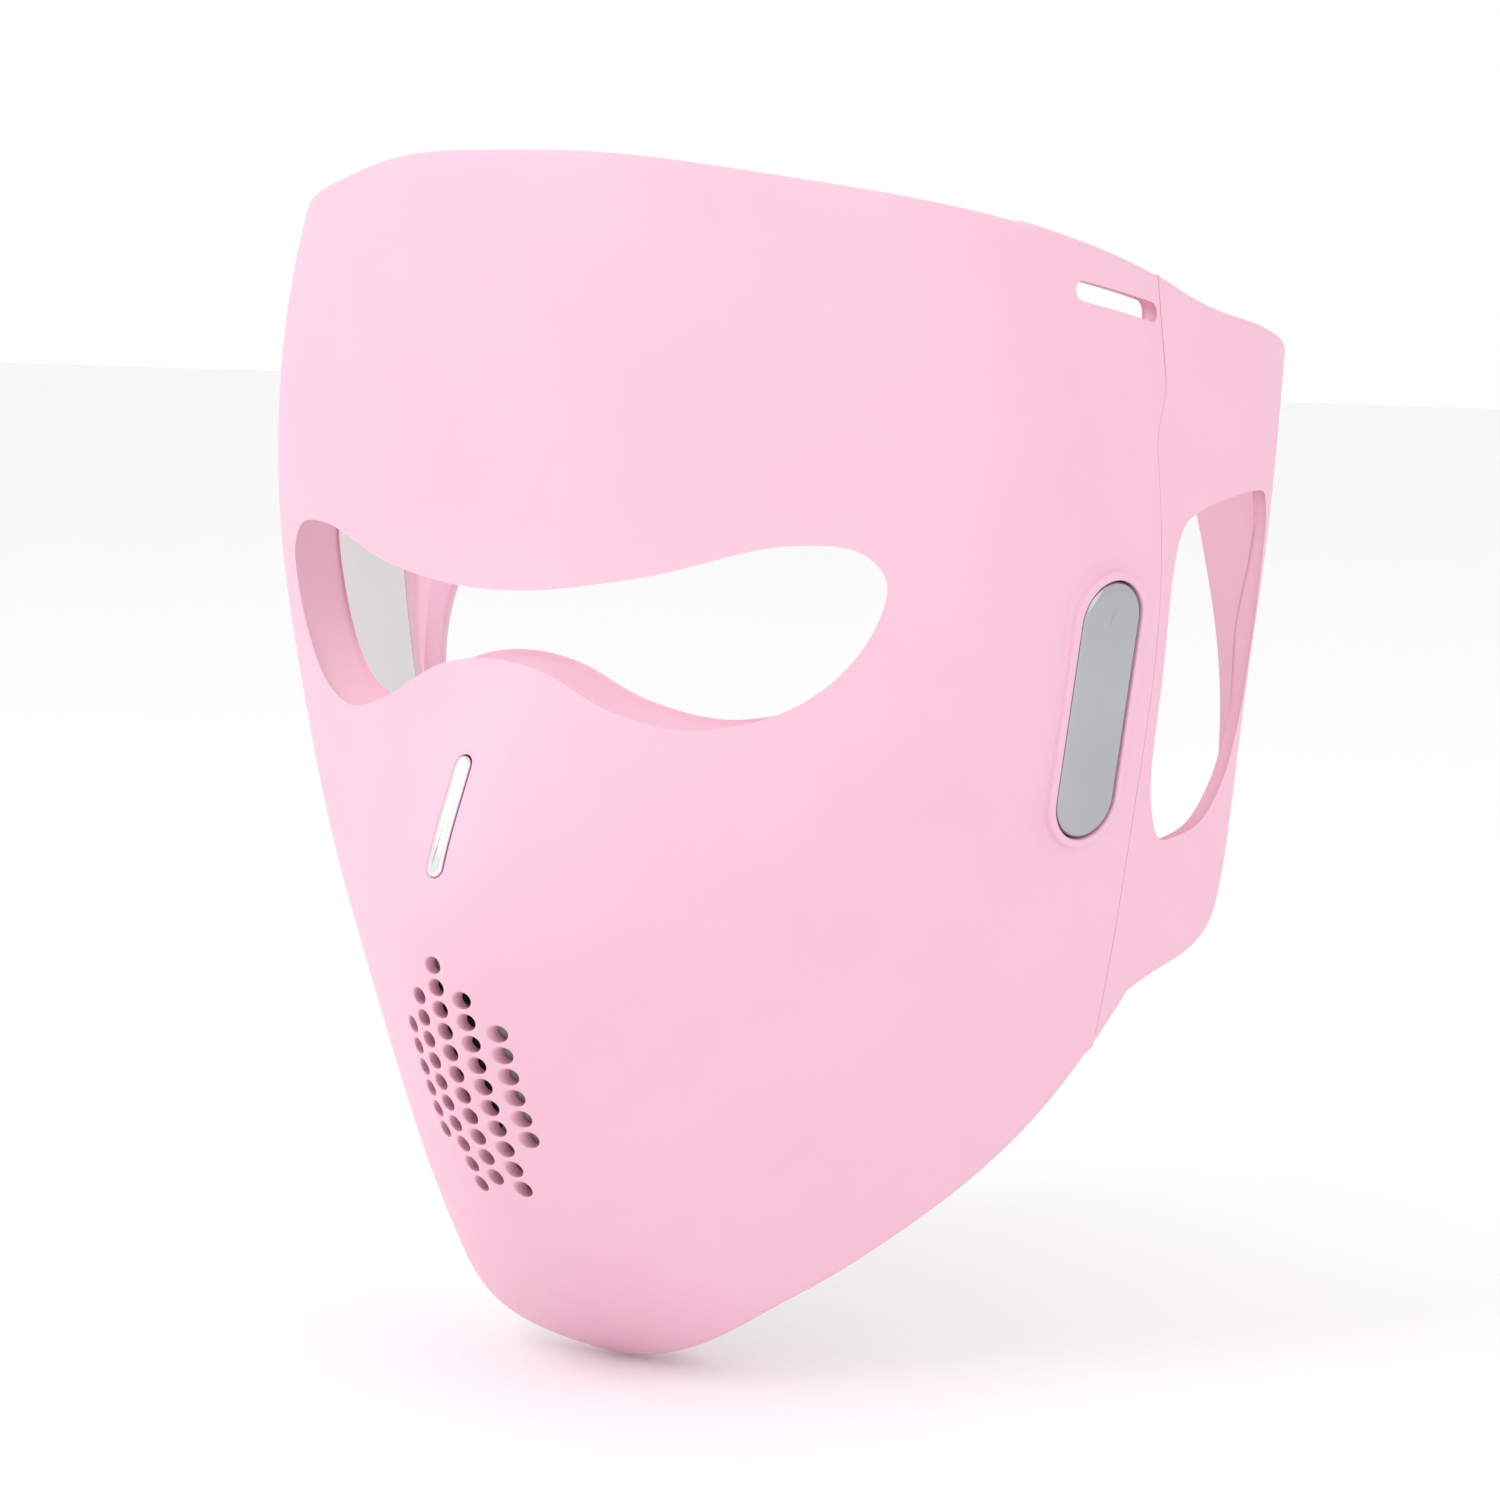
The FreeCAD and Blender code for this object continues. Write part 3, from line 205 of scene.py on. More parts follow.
class Patch:
    """A surface with two parameters, searched and trimmed by numbers alone."""

    step = 1e-4
    stride = 0.6
    limits = (np.full(2, -np.inf), np.full(2, np.inf))

    def at(self, uv: np.ndarray) -> np.ndarray:
        """Points of the surface at rows of parameters."""
        raise NotImplementedError

    def slopes(self, uv: np.ndarray) -> tuple[np.ndarray, np.ndarray]:
        """Both partial derivatives at rows of parameters."""
        found = []
        for axis in (0, 1):
            shift = np.zeros(2)
            shift[axis] = self.step
            found.append((self.at(uv + shift) - self.at(uv - shift)) / (2 * self.step))
        return found[0], found[1]

    def normals(self, uv: np.ndarray) -> np.ndarray:
        """Unit normals that point away from the wearer."""
        du, dv = self.slopes(uv)
        n = np.cross(du, dv)
        return n / np.linalg.norm(n, axis=1)[:, None]

    def level(self, fixed: np.ndarray, axis: int, low: float, high: float,
              test: Callable) -> np.ndarray:
        """Find, by halving, where a test changes sign along one parameter.

        Args:
            fixed: Values of the other parameter.
            axis: Which parameter is searched, 0 or 1.
            low: Where the test is below zero.
            high: Where the test is above zero.
            test: Function of the surface's points.

        Returns:
            Rows of parameters.
        """
        a, b = np.full(len(fixed), float(low)), np.full(len(fixed), float(high))
        for _ in range(34):
            middle = (a + b) / 2
            uv = np.stack([middle, fixed] if axis == 0 else [fixed, middle], axis=1)
            below = test(self.at(uv)) < 0
            a, b = np.where(below, middle, a), np.where(below, b, middle)
        return np.stack([a, fixed] if axis == 0 else [fixed, a], axis=1)

    def along(self, targets: np.ndarray, direction: tuple, start: np.ndarray) -> np.ndarray:
        """Carry points onto the surface along a direction.

        Args:
            targets: Points to carry.
            direction: The way they move.
            start: First guess of the parameters, one row or one for each point.

        Returns:
            Rows of parameters.
        """
        d = np.array(direction, float)
        d = d / np.linalg.norm(d)
        side = np.cross(d, (0.31, 0.47, 0.83))
        side = side / np.linalg.norm(side)
        rows = np.stack([side, np.cross(d, side)])
        uv = np.array(np.broadcast_to(start, (len(targets), 2)), float)
        for _ in range(25):
            miss = (targets - self.at(uv)) @ rows.T
            du, dv = self.slopes(uv)
            jac = np.stack([du @ rows.T, dv @ rows.T], axis=2)
            move = np.linalg.solve(jac, miss[:, :, None])[:, :, 0]
            uv = np.clip(uv + np.clip(move, -self.stride, self.stride), *self.limits)
        return uv

    def nudge(self, uv: np.ndarray, moves: np.ndarray) -> np.ndarray:
        """Parameters of the surface points nearest to moved points.

        Args:
            uv: Where the points are now.
            moves: How far each one moves in space.

        Returns:
            Rows of parameters.
        """
        wanted = self.at(uv) + moves
        found = uv.copy()
        for _ in range(3):
            du, dv = self.slopes(found)
            miss = wanted - self.at(found)
            a, b, c = (du * du).sum(1), (du * dv).sum(1), (dv * dv).sum(1)
            p, q = (du * miss).sum(1), (dv * miss).sum(1)
            det = a * c - b * b
            found = found + np.stack([(c * p - b * q) / det, (a * q - b * p) / det], axis=1)
        return found


class Net(Patch):
    """Cubic surface of a control net."""

    def __init__(self, net: np.ndarray) -> None:
        """Keep the net, columns first."""
        self.net = net
        self.limits = (np.full(2, 2e-4), np.array(net.shape[:2]) - 3 - 2e-4)

    def at(self, uv: np.ndarray) -> np.ndarray:
        """Points of the surface at rows of parameters."""
        across = basis(self.net.shape[0], uv[:, 0])
        up = basis(self.net.shape[1], uv[:, 1])
        return np.einsum("pi,pj,ijk->pk", across, up, self.net)

    def sunk(self, depth: float) -> "Net":
        """The surface at a depth below this one; its two end columns keep their place along Y."""
        before = np.concatenate([self.net[:1], self.net[:-1]])
        after = np.concatenate([self.net[1:], self.net[-1:]])
        low = np.concatenate([self.net[:, :1], self.net[:, :-1]], axis=1)
        high = np.concatenate([self.net[:, 1:], self.net[:, -1:]], axis=1)
        normal = np.cross(after - before, high - low)
        normal[[0, -1], :, 1] = 0
        return Net(self.net - normal / np.linalg.norm(normal, axis=2)[:, :, None] * depth)


# ------------------------------------------------------------------------------ finishes

class Grain(Enum):
    """What breaks up a finish close to."""

    SOFT_TOUCH = "soft_touch"
    SMOOTH = "smooth"
    WOVEN = "woven"
    BRUSHED = "brushed"
    SPECKLED = "speckled"


@dataclass(frozen=True)
class Finish:
    """One finish: its two close colours, gloss and grain."""

    name: str
    colour: tuple[float, float, float]
    second: tuple[float, float, float]
    roughness: float
    grain: Grain = Grain.SMOOTH
    patch_size: float = 18.0
    grain_size: float = 0.25
    grain_height: float = 0.02
    metallic: float = 0.0
    coat: float = 0.0
    sheen: float = 0.0
    alpha: float = 1.0
    transmission: float = 0.0

    def material(self) -> bpy.types.Material:
        """Build the finish as a node material, or fetch it if it is already there.

        Returns:
            The material, with its constant values on the shader's own sockets.
        """
        made = bpy.data.materials.get(self.name)
        if made:
            return made
        made = bpy.data.materials.new(self.name)
        made.use_nodes = True
        nodes, links = made.node_tree.nodes, made.node_tree.links
        shader = nodes["Principled BSDF"]
        shader.inputs["Metallic"].default_value = self.metallic
        shader.inputs["Coat Weight"].default_value = self.coat
        shader.inputs["Coat Roughness"].default_value = 0.08
        shader.inputs["Sheen Weight"].default_value = self.sheen
        shader.inputs["Sheen Roughness"].default_value = 0.45
        shader.inputs["Alpha"].default_value = self.alpha
        shader.inputs["Transmission Weight"].default_value = self.transmission
        place = nodes.new("ShaderNodeTexCoord").outputs["Object"]
        broad = self.noise(nodes, links, place, 1 / (self.patch_size * MM), 3.0)
        tone = nodes.new("ShaderNodeValToRGB")
        tone.color_ramp.elements[0].position = 0.3
        tone.color_ramp.elements[1].position = 0.7
        tone.color_ramp.elements[0].color = (*self.colour, 1)
        tone.color_ramp.elements[1].color = (*self.second, 1)
        links.new(broad, tone.inputs[0])
        links.new(tone.outputs[0], shader.inputs["Base Color"])
        fine = self.fine_pattern(nodes, links, place)
        gloss = nodes.new("ShaderNodeMapRange")
        gloss.inputs["To Min"].default_value = self.roughness * 0.92
        gloss.inputs["To Max"].default_value = min(1.0, self.roughness * 1.08)
        links.new(fine, gloss.inputs["Value"])
        links.new(gloss.outputs["Result"], shader.inputs["Roughness"])
        bump = nodes.new("ShaderNodeBump")
        bump.inputs["Strength"].default_value = 0.35
        bump.inputs["Distance"].default_value = self.grain_height * MM
        links.new(fine, bump.inputs["Height"])
        links.new(bump.outputs["Normal"], shader.inputs["Normal"])
        return made

    def noise(self, nodes: bpy.types.Nodes, links: bpy.types.NodeLinks,
              place: bpy.types.NodeSocket, scale: float, detail: float) -> bpy.types.NodeSocket:
        """Noise of a scale and detail, at a place socket; returns its factor socket."""
        made = nodes.new("ShaderNodeTexNoise")
        made.inputs["Scale"].default_value = scale
        made.inputs["Detail"].default_value = detail
        links.new(place, made.inputs["Vector"])
        return made.outputs["Fac"]

    def fine_pattern(self, nodes: bpy.types.Nodes, links: bpy.types.NodeLinks,
                     place: bpy.types.NodeSocket) -> bpy.types.NodeSocket:
        """The grain's own pattern.

        Args:
            nodes: The material's nodes.
            links: The material's links.
            place: Socket of the object's own coordinates.

        Returns:
            A socket from 0 to 1.
        """
        scale = 1 / (self.grain_size * MM)
        if self.grain is Grain.WOVEN:
            wave = []
            for direction in ("X", "Z"):
                made = nodes.new("ShaderNodeTexWave")
                made.bands_direction = direction
                made.inputs["Scale"].default_value = scale / 2
                links.new(place, made.inputs["Vector"])
                wave.append(made.outputs["Fac"])
            joined = nodes.new("ShaderNodeMath")
            joined.operation = "MULTIPLY"
            links.new(wave[0], joined.inputs[0])
            links.new(wave[1], joined.inputs[1])
            return joined.outputs[0]
        if self.grain is Grain.SPECKLED:
            made = nodes.new("ShaderNodeTexVoronoi")
            made.inputs["Scale"].default_value = scale
            links.new(place, made.inputs["Vector"])
            return made.outputs["Distance"]
        if self.grain is Grain.BRUSHED:
            stretch = nodes.new("ShaderNodeMapping")
            stretch.inputs["Scale"].default_value = (1.0, 1.0, 0.04)
            links.new(place, stretch.inputs["Vector"])
            place = stretch.outputs["Vector"]
        detail = 4.0 if self.grain is Grain.SOFT_TOUCH else 1.0
        return self.noise(nodes, links, place, scale, detail)


BODY_PINK = Finish("body_pink", (0.85, 0.512, 0.628), (0.835, 0.495, 0.612), 0.55, Grain.SOFT_TOUCH,
                   sheen=0.08, grain_height=0.03)
KEY_CHROME = Finish("key_chrome", (0.47, 0.475, 0.49), (0.44, 0.445, 0.46), 0.09, metallic=1.0,
                    grain_size=3.0, grain_height=0.004)
TRIM_CHROME = Finish("trim_chrome", (0.88, 0.86, 0.87), (0.85, 0.83, 0.84), 0.09, metallic=1.0,
                     grain_size=3.0, grain_height=0.004)
LINER_SILICONE = Finish("liner_silicone", (0.80, 0.79, 0.78), (0.77, 0.76, 0.75), 0.5,
                        Grain.SOFT_TOUCH, sheen=0.1)
GRILLE_PALE = Finish("grille_pale", (0.66, 0.67, 0.62), (0.63, 0.64, 0.60), 0.5, Grain.SPECKLED)
MESH_BLACK = Finish("mesh_black", (0.018, 0.013, 0.012), (0.012, 0.01, 0.01), 0.8, Grain.WOVEN,
                    grain_size=0.4, grain_height=0.12)
FLEX_AMBER = Finish("flex_amber", (0.62, 0.30, 0.05), (0.56, 0.26, 0.04), 0.35, coat=0.4)
LENS_CLEAR = Finish("lens_clear", (0.93, 0.90, 0.72), (0.90, 0.86, 0.66), 0.15, coat=0.6)
BOARD_GREEN = Finish("board_green", (0.02, 0.16, 0.07), (0.03, 0.20, 0.09), 0.35, Grain.SPECKLED,
                     coat=0.5, grain_size=1.2)
CHIP_BLACK = Finish("chip_black", (0.02, 0.02, 0.022), (0.03, 0.03, 0.032), 0.6, Grain.SPECKLED)
NICKEL = Finish("nickel", (0.62, 0.61, 0.58), (0.57, 0.56, 0.54), 0.25, Grain.BRUSHED, metallic=1.0)
SCREW_ZINC = Finish("screw_zinc", (0.55, 0.56, 0.58), (0.50, 0.51, 0.53), 0.32, Grain.BRUSHED,
                    metallic=1.0)
PLUNGER_RED = Finish("plunger_red", (0.60, 0.03, 0.03), (0.55, 0.025, 0.025), 0.3)
CELL_FOIL = Finish("cell_foil", (0.68, 0.69, 0.71), (0.63, 0.64, 0.66), 0.38, Grain.SPECKLED,
                   metallic=0.9, grain_size=2.0, grain_height=0.08)
MOTOR_STEEL = Finish("motor_steel", (0.60, 0.60, 0.61), (0.55, 0.55, 0.56), 0.28, Grain.BRUSHED,
                     metallic=1.0)
WEIGHT_STEEL = Finish("weight_steel", (0.30, 0.30, 0.31), (0.25, 0.25, 0.26), 0.5,
                      Grain.SPECKLED, metallic=1.0)
FLOOR_WHITE = Finish("floor_white", (0.93, 0.93, 0.93), (0.92, 0.92, 0.92), 0.7,
                     patch_size=900.0, grain_size=8.0)


def dress(piece: bpy.types.Object, finish: Finish) -> None:
    """Give a piece one finish over its whole surface."""
    piece.data.materials.clear()
    piece.data.materials.append(finish.material())


# ---------------------------------------------------------------------------- mesh maker

def bend(a: np.ndarray, corner: np.ndarray, b: np.ndarray, steps: int) -> list[np.ndarray]:
    """Rows of points that round a corner.

    Args:
        a: Points where the rounding starts.
        corner: The sharp corner's points.
        b: Points where the rounding ends.
        steps: Rows wanted between the two ends.

    Returns:
        The rows, without the two ends.
    """
    shares = (np.arange(steps) + 1) / (steps + 1)
    return [(1 - t) ** 2 * a + 2 * t * (1 - t) * corner + t * t * b for t in shares]


def inside(points: np.ndarray, outline: np.ndarray) -> np.ndarray:
    """Which flat points lie inside a closed outline."""
    found = np.zeros(len(points), bool)
    a, b = outline, np.roll(outline, -1, axis=0)
    x, y = points[:, :1], points[:, 1:]
    for start in range(0, len(a), 400):
        p, q = a[start:start + 400], b[start:start + 400]
        spans = (p[:, 1] > y) != (q[:, 1] > y)
        rise = np.where(np.abs(q[:, 1] - p[:, 1]) < 1e-12, 1e-12, q[:, 1] - p[:, 1])
        crossing = p[:, 0] + (y - p[:, 1]) * (q[:, 0] - p[:, 0]) / rise
        found ^= ((spans & (x < crossing)).sum(axis=1) % 2).astype(bool)
    return found


@dataclass
class Loop:
    """A row of points on a patch, with their places in the mesh."""

    uv: np.ndarray
    ids: np.ndarray


class Skin:
    """Collects the points and faces of one piece."""

    def __init__(self) -> None:
        """Start with nothing."""
        self.points: list[np.ndarray] = []
        self.faces: list[tuple[int, ...]] = []
        self.count = 0

    def add(self, rows: np.ndarray) -> np.ndarray:
        """Keep points and return their numbers."""
        self.points.append(np.asarray(rows, float))
        self.count += len(rows)
        return np.arange(self.count - len(rows), self.count)

    def strip(self, one: np.ndarray, two: np.ndarray, closed: bool = False) -> None:
        """Join two rows of equal length with four-sided faces."""
        a, b = list(one), list(two)
        if closed:
            a, b = a + a[:1], b + b[:1]
        self.faces += [(a[i], a[i + 1], b[i + 1], b[i]) for i in range(len(a) - 1)]

    def fill(self, patch: Patch, outer: Loop, holes: list[Loop], spacing: float) -> None:
        """Cover a patch inside a closed loop and outside its holes.

        Args:
            patch: The surface.
            outer: Its closed outline.
            holes: Closed outlines of its openings.
            spacing: Distance between points in the open, in millimetres.
        """
        rims = [outer, *holes]
        flats = [patch.flat(rim.uv) for rim in rims]
        edge = np.concatenate(flats)
        low, high = flats[0].min(0), flats[0].max(0)
        across = np.arange(low[0], high[0], spacing)
        up = np.arange(low[1], high[1], spacing * 0.866)
        grid = np.array([(x + (j % 2) * spacing / 2, y) for j, y in enumerate(up) for x in across])
        keep = inside(grid, flats[0])
        for hole in flats[1:]:
            keep &= ~inside(grid, hole)
        grid = grid[keep]
        tree = KDTree(len(edge))
        for i, place in enumerate(edge):
            tree.insert((*place, 0.0), i)
        tree.balance()
        if len(grid):
            gap = np.array([tree.find((*place, 0.0))[2] for place in grid])
            grid = grid[gap > spacing * 0.6]
        ids = np.concatenate([rim.ids for rim in rims])
        if len(grid):
            ids = np.concatenate([ids, self.add(patch.at(patch.unflat(grid)))])
        edges, start = [], 0
        for flat in flats:
            n = len(flat)
            edges += [(start + i, start + (i + 1) % n) for i in range(n)]
            start += n
        places = [Vector(place) for place in np.concatenate([edge, grid])]
        made = delaunay_2d_cdt(places, edges, [], 0, 1e-7)
        back = [found[0] if found else -1 for found in made[3]]
        triangles = np.array([[back[i] for i in face] for face in made[2] if len(face) == 3])
        triangles = triangles[(triangles >= 0).all(axis=1)]
        flat_points = np.concatenate([edge, grid])
        doubt = (triangles < len(edge)).all(axis=1)
        good = np.ones(len(triangles), bool)
        middles = flat_points[triangles[doubt]].mean(axis=1)
        within = inside(middles, flats[0])
        for hole in flats[1:]:
            within &= ~inside(middles, hole)
        good[doubt] = within
        self.faces += [tuple(ids[i] for i in face) for face in triangles[good]]

    def rim(self, top: Patch, top_uv: np.ndarray, low: Patch, low_uv: np.ndarray,
            radii: tuple, shelves: tuple = ()) -> tuple[Loop, Loop]:
        """Wall between a closed edge of one patch and the same edge of another, both rounded.

        The edge runs with the patch's material on its left.

        Args:
            top: Outer surface.
            top_uv: Its edge.
            low: Inner surface.
            low_uv: Its edge, point for point.
            radii: How far the rounding reaches at the outer and the inner edge, in millimetres,
                as one number each or one for each point.
            shelves: Rows of points in space that the wall passes on its way in.

        Returns:
            The loops that bound the outer and the inner face.
        """
        p, q = top.at(top_uv), low.at(low_uv)
        path = [p, *shelves, q]
        first, final = path[1] - p, q - path[-2]
        first_long = np.linalg.norm(first, axis=1)[:, None]
        final_long = np.linalg.norm(final, axis=1)[:, None]
        share = 0.45 if len(path) == 2 else 0.9
        reach = [np.minimum(np.broadcast_to(np.asarray(r, float), len(p))[:, None], share * room)
                 for r, room in zip(radii, (first_long, final_long))]
        inward = []
        for patch, uv, pts, far in ((top, top_uv, p, reach[0]), (low, low_uv, q, reach[1])):
            line = np.roll(pts, -1, axis=0) - np.roll(pts, 1, axis=0)
            way = np.cross(patch.normals(uv), line)
            way = way / np.linalg.norm(way, axis=1)[:, None]
            inward.append(patch.nudge(uv, way * far))
        a, b = top.at(inward[0]), p + first / first_long * reach[0]
        c, d = q - final / final_long * reach[1], low.at(inward[1])
        rows = [a, *bend(a, p, b, 3), b, *shelves, c, *bend(c, q, d, 2), d]
        ids = [self.add(row) for row in rows]
        for one, two in zip(ids, ids[1:]):
            self.strip(one, two, True)
        return Loop(inward[0], ids[0]), Loop(inward[1], ids[-1])

    def piece(self, name: str, finish: Finish, mirror: bool = False,
              sharp_angle: float = 42.0) -> bpy.types.Object:
        """Turn what was collected into a dressed object.

        Args:
            name: The object's name.
            finish: Its finish.
            mirror: Whether it is the other side's copy.
            sharp_angle: Edges sharper than this, in degrees, stay crisp.

        Returns:
            The object, in metres.
        """
        points = np.concatenate(self.points) * MM
        if mirror:
            points = points * (-1, 1, 1)
        mesh = bpy.data.meshes.new(name)
        mesh.from_pydata(points.tolist(), [], [tuple(int(i) for i in f) for f in self.faces])
        work = bmesh.new()
        work.from_mesh(mesh)
        bmesh.ops.remove_doubles(work, verts=work.verts, dist=2e-6)
        bmesh.ops.dissolve_degenerate(work, edges=work.edges, dist=1e-6)
        loose = [v for v in work.verts if not v.link_faces]
        bmesh.ops.delete(work, geom=loose, context="VERTS")
        bmesh.ops.recalc_face_normals(work, faces=work.faces)
        open_edges = sum(1 for e in work.edges if not e.is_manifold)
        for face in work.faces:
            face.smooth = True
        work.to_mesh(mesh)
        work.free()
        mesh.set_sharp_from_angle(angle=math.radians(sharp_angle))
        made = bpy.data.objects.new(name, mesh)
        bpy.context.scene.collection.objects.link(made)
        dress(made, finish)
        LOG.info("%s: %d faces, %d open edges", name, len(mesh.polygons), open_edges)
        return made


# ------------------------------------------------------------------------------ the form

@dataclass
class FaceForm:
    """Stations and outlines of the face, as its maker drew them.

    Each station gives the height, the reach of the middle, the half breadth of the nose ridge, the
    cheek line (x, y), the side line (x, y), the half breadth at the crease, and the wing's bend
    and inward turn.
    """

    stations: tuple = (
        (-14, 22, 9, 28, 30, 36, 12, 45, 13, 1), (0, 45, 8.5, 31, 45, 41, 21, 52, 13, 1),
        (24, 71, 7, 32.5, 58, 51, 25, 66, 13, 1), (48, 88, 6.5, 32.5, 67, 60.5, 27, 74, 13, 1),
        (70, 97, 7, 34.5, 73, 68, 30, 78, 14, 1), (88, 100.5, 8, 37, 76.5, 74.5, 32.5, 80, 15.5, 1),
        (104, 92, 8.5, 39.5, 76, 79.5, 35, 82, 15.5, 1.5),
        (122, 82.5, 11, 43, 70.5, 84.5, 38, 84.5, 15, 4),
        (142, 77.5, 19, 47.5, 66, 88.5, 39.5, 85.5, 19.5, 12.5),
        (166, 78.5, 20.5, 48, 66, 88, 40.5, 83.5, 27.5, 22),
        (192, 79.5, 21, 47.5, 63.5, 83, 40, 80.5, 36.5, 22),
        (212, 76.5, 21.5, 45, 60, 74.5, 37, 80, 42, 22),
        (228, 71, 22, 42.5, 57.5, 65, 33, 82, 44, 22))
    wing_lines: tuple = ((0.0, 0.0), (0.3, 1.2), (0.62, 4.7), (0.98, 7.2), (1.2, 4.6))
    wing_edge_back: float = 1.0
    top_front: tuple = (-76.0, 210.4)
    top_fall: float = 0.285
    jaw_edge: tuple = (
        (-31.1, 0.0), (-26.5, 1.4), (-20.5, 5.2), (-10.0, 12.3), (3.0, 19.2), (14.6, 26.3),
        (24.1, 33.0), (32.1, 39.8), (38.5, 46.4), (44.6, 54.0), (50.0, 61.6), (56.5, 71.0))
    eye_edge: tuple = (
        (0.0, 140.1), (26.0, 142.6), (47.0, 146.7), (58.5, 144.8), (62.7, 138.4),
        (59.0, 126.5), (49.5, 117.4), (36.0, 114.6), (23.0, 118.3), (10.0, 124.9), (0.0, 126.4))
    eye_plane: float = 70.0
    eye_rise: float = 0.12
    ear_edge: tuple = (
        (-4.2, 122.0), (-3.2, 101.0), (1.5, 91.8), (8.5, 93.3), (12.8, 101.0), (15.2, 112.0),
        (16.8, 124.0), (19.2, 138.0), (21.4, 148.5), (20.6, 152.6), (10.5, 151.7), (1.5, 147.6),
        (-2.8, 139.0))
    wing_top: tuple = ((14.0, 183.2), (26.0, 179.6), (32.8, 176.2), (37.0, 169.0), (42.0, 152.0))
    wing_foot: tuple = ((8.5, 72.0), (13.3, 77.4), (16.2, 85.5), (18.4, 96.0), (24.0, 118.0))

    def face(self) -> "FaceNet":
        """Outer surface of the face, crease to crease."""
        net = np.zeros((9, len(self.stations), 3))
        for j, (rise, front, ridge, cx, cy, sx, sy, crease, _, _) in enumerate(self.stations):
            half = ((0, -front), (ridge, -front), (cx, -cy), (sx, -sy), (crease, 0))
            for line in range(-4, 5):
                x, y = half[abs(line)]
                net[line + 4, j] = (math.copysign(x, line), y, rise)
        return FaceNet(net)

    def wing(self) -> Net:
        """Outer surface of the left wing, crease to rear edge."""
        net = np.zeros((6, len(self.stations), 3))
        for j, (rise, *_, crease, back, turn) in enumerate(self.stations):
            for i, (share, out) in enumerate(self.wing_lines):
                net[i, j] = (crease + out, share * back, rise)
            share, out = self.wing_lines[-1]
            net[5, j] = (crease + out - turn, share * back + self.wing_edge_back, rise)
        return Net(net)

    def above(self, points: np.ndarray, drop: float = 0.0) -> np.ndarray:
        """How far points are above the plane of the top edge."""
        front_y, front_z = self.top_front
        fall = self.top_fall
        return points[:, 2] - front_z + fall * (points[:, 1] - front_y) + drop * math.hypot(1, fall)

    def over_jaw(self, points: np.ndarray, rise: float = 0.0) -> np.ndarray:
        """How far points are above the jaw edge."""
        across = (np.abs(points[:, 0]) + points[:, 1]) * math.sqrt(0.5)
        slope = 1.2
        return points[:, 2] - curve_height(self.jaw_edge, across) - rise * slope

    def eye_loop(self, grow: float, count: int) -> np.ndarray:
        """Eye opening on its own plane, as points in space, anticlockwise from the front."""
        half = np.array(self.eye_edge)
        whole = np.concatenate([half, half[-2:0:-1] * (-1, 1)])[::-1]
        flat = through(whole, count, True)
        line = np.roll(flat, -1, axis=0) - np.roll(flat, 1, axis=0)
        line = line / np.linalg.norm(line, axis=1)[:, None]
        flat = flat + np.stack([line[:, 1], -line[:, 0]], axis=1) * grow
        return np.stack([flat[:, 0], np.full(count, -self.eye_plane), flat[:, 1]], axis=1)

    def ear_loop(self, count: int) -> np.ndarray:
        """Ear opening as points beside the left wing."""
        flat = through(np.array(self.ear_edge), count, True)
        return np.stack([np.full(count, 85.0), flat[:, 0], flat[:, 1]], axis=1)

    def ear_front(self, heights: np.ndarray) -> np.ndarray:
        """Foremost reach of the ear opening at each height, or far behind where it has none."""
        flat = through(np.array(self.ear_edge), 600, True)
        edges = np.linspace(flat[:, 1].min(), flat[:, 1].max(), 121)
        found = np.full(120, 50.0)
        place = np.clip(np.digitize(flat[:, 1], edges) - 1, 0, 119)
        np.minimum.at(found, place, flat[:, 0])
        middles = (edges[:-1] + edges[1:]) / 2
        return np.interp(heights, middles, found, left=50.0, right=50.0)


class FaceNet(Net):
    """The face's surface, with a flat map that keeps lengths across it."""

    def __init__(self, net: np.ndarray) -> None:
        """Keep the net and measure it across its middle."""
        super().__init__(net)
        self.marks = np.linspace(0, 6, 241)
        line = self.at(np.stack([self.marks, np.full(241, 5.2)], axis=1))
        steps = np.linalg.norm(np.diff(line, axis=0), axis=1)
        self.lengths = np.concatenate([[0], np.cumsum(steps)])

    def sunk(self, depth: float) -> "FaceNet":
        """The face at a depth below this one."""
        return FaceNet(super().sunk(depth).net)

    def flat(self, uv: np.ndarray) -> np.ndarray:
        """Places on the flat map, in millimetres."""
        return np.stack([np.interp(uv[:, 0], self.marks, self.lengths), uv[:, 1] * 22.0], axis=1)

    def unflat(self, places: np.ndarray) -> np.ndarray:
        """Parameters of places on the flat map."""
        return np.stack([np.interp(places[:, 0], self.lengths, self.marks), places[:, 1] / 22.0],
                        axis=1)


class InnerFace(FaceNet):
    """Skin side of the shell: deep over the face, one wall thick at the strap corners."""

    def __init__(self, outer: FaceNet, deep: float, thin: float, corner: tuple,
                 ease: float) -> None:
        """Keep both depths.

        Args:
            outer: The outer surface.
            deep: Depth over the face.
            thin: Depth at the strap corners.
            corner: (y, z) from which a corner reaches back and up.
            ease: Width of the slope between the two depths.
        """
        self.outer, self.thin_net = outer, Net.sunk(outer, thin)
        self.corner, self.ease = corner, ease
        super().__init__(Net.sunk(outer, deep).net)

    def at(self, uv: np.ndarray) -> np.ndarray:
        """Points of the surface at rows of parameters."""
        deep = super().at(uv)
        if not hasattr(self, "lengths"):
            return deep
        place = self.outer.at(uv)
        share = smooth_step((place[:, 1] - self.corner[0]) / self.ease)
        share = share * smooth_step((place[:, 2] - self.corner[1]) / self.ease)
        return deep + (self.thin_net.at(uv) - deep) * share[:, None]


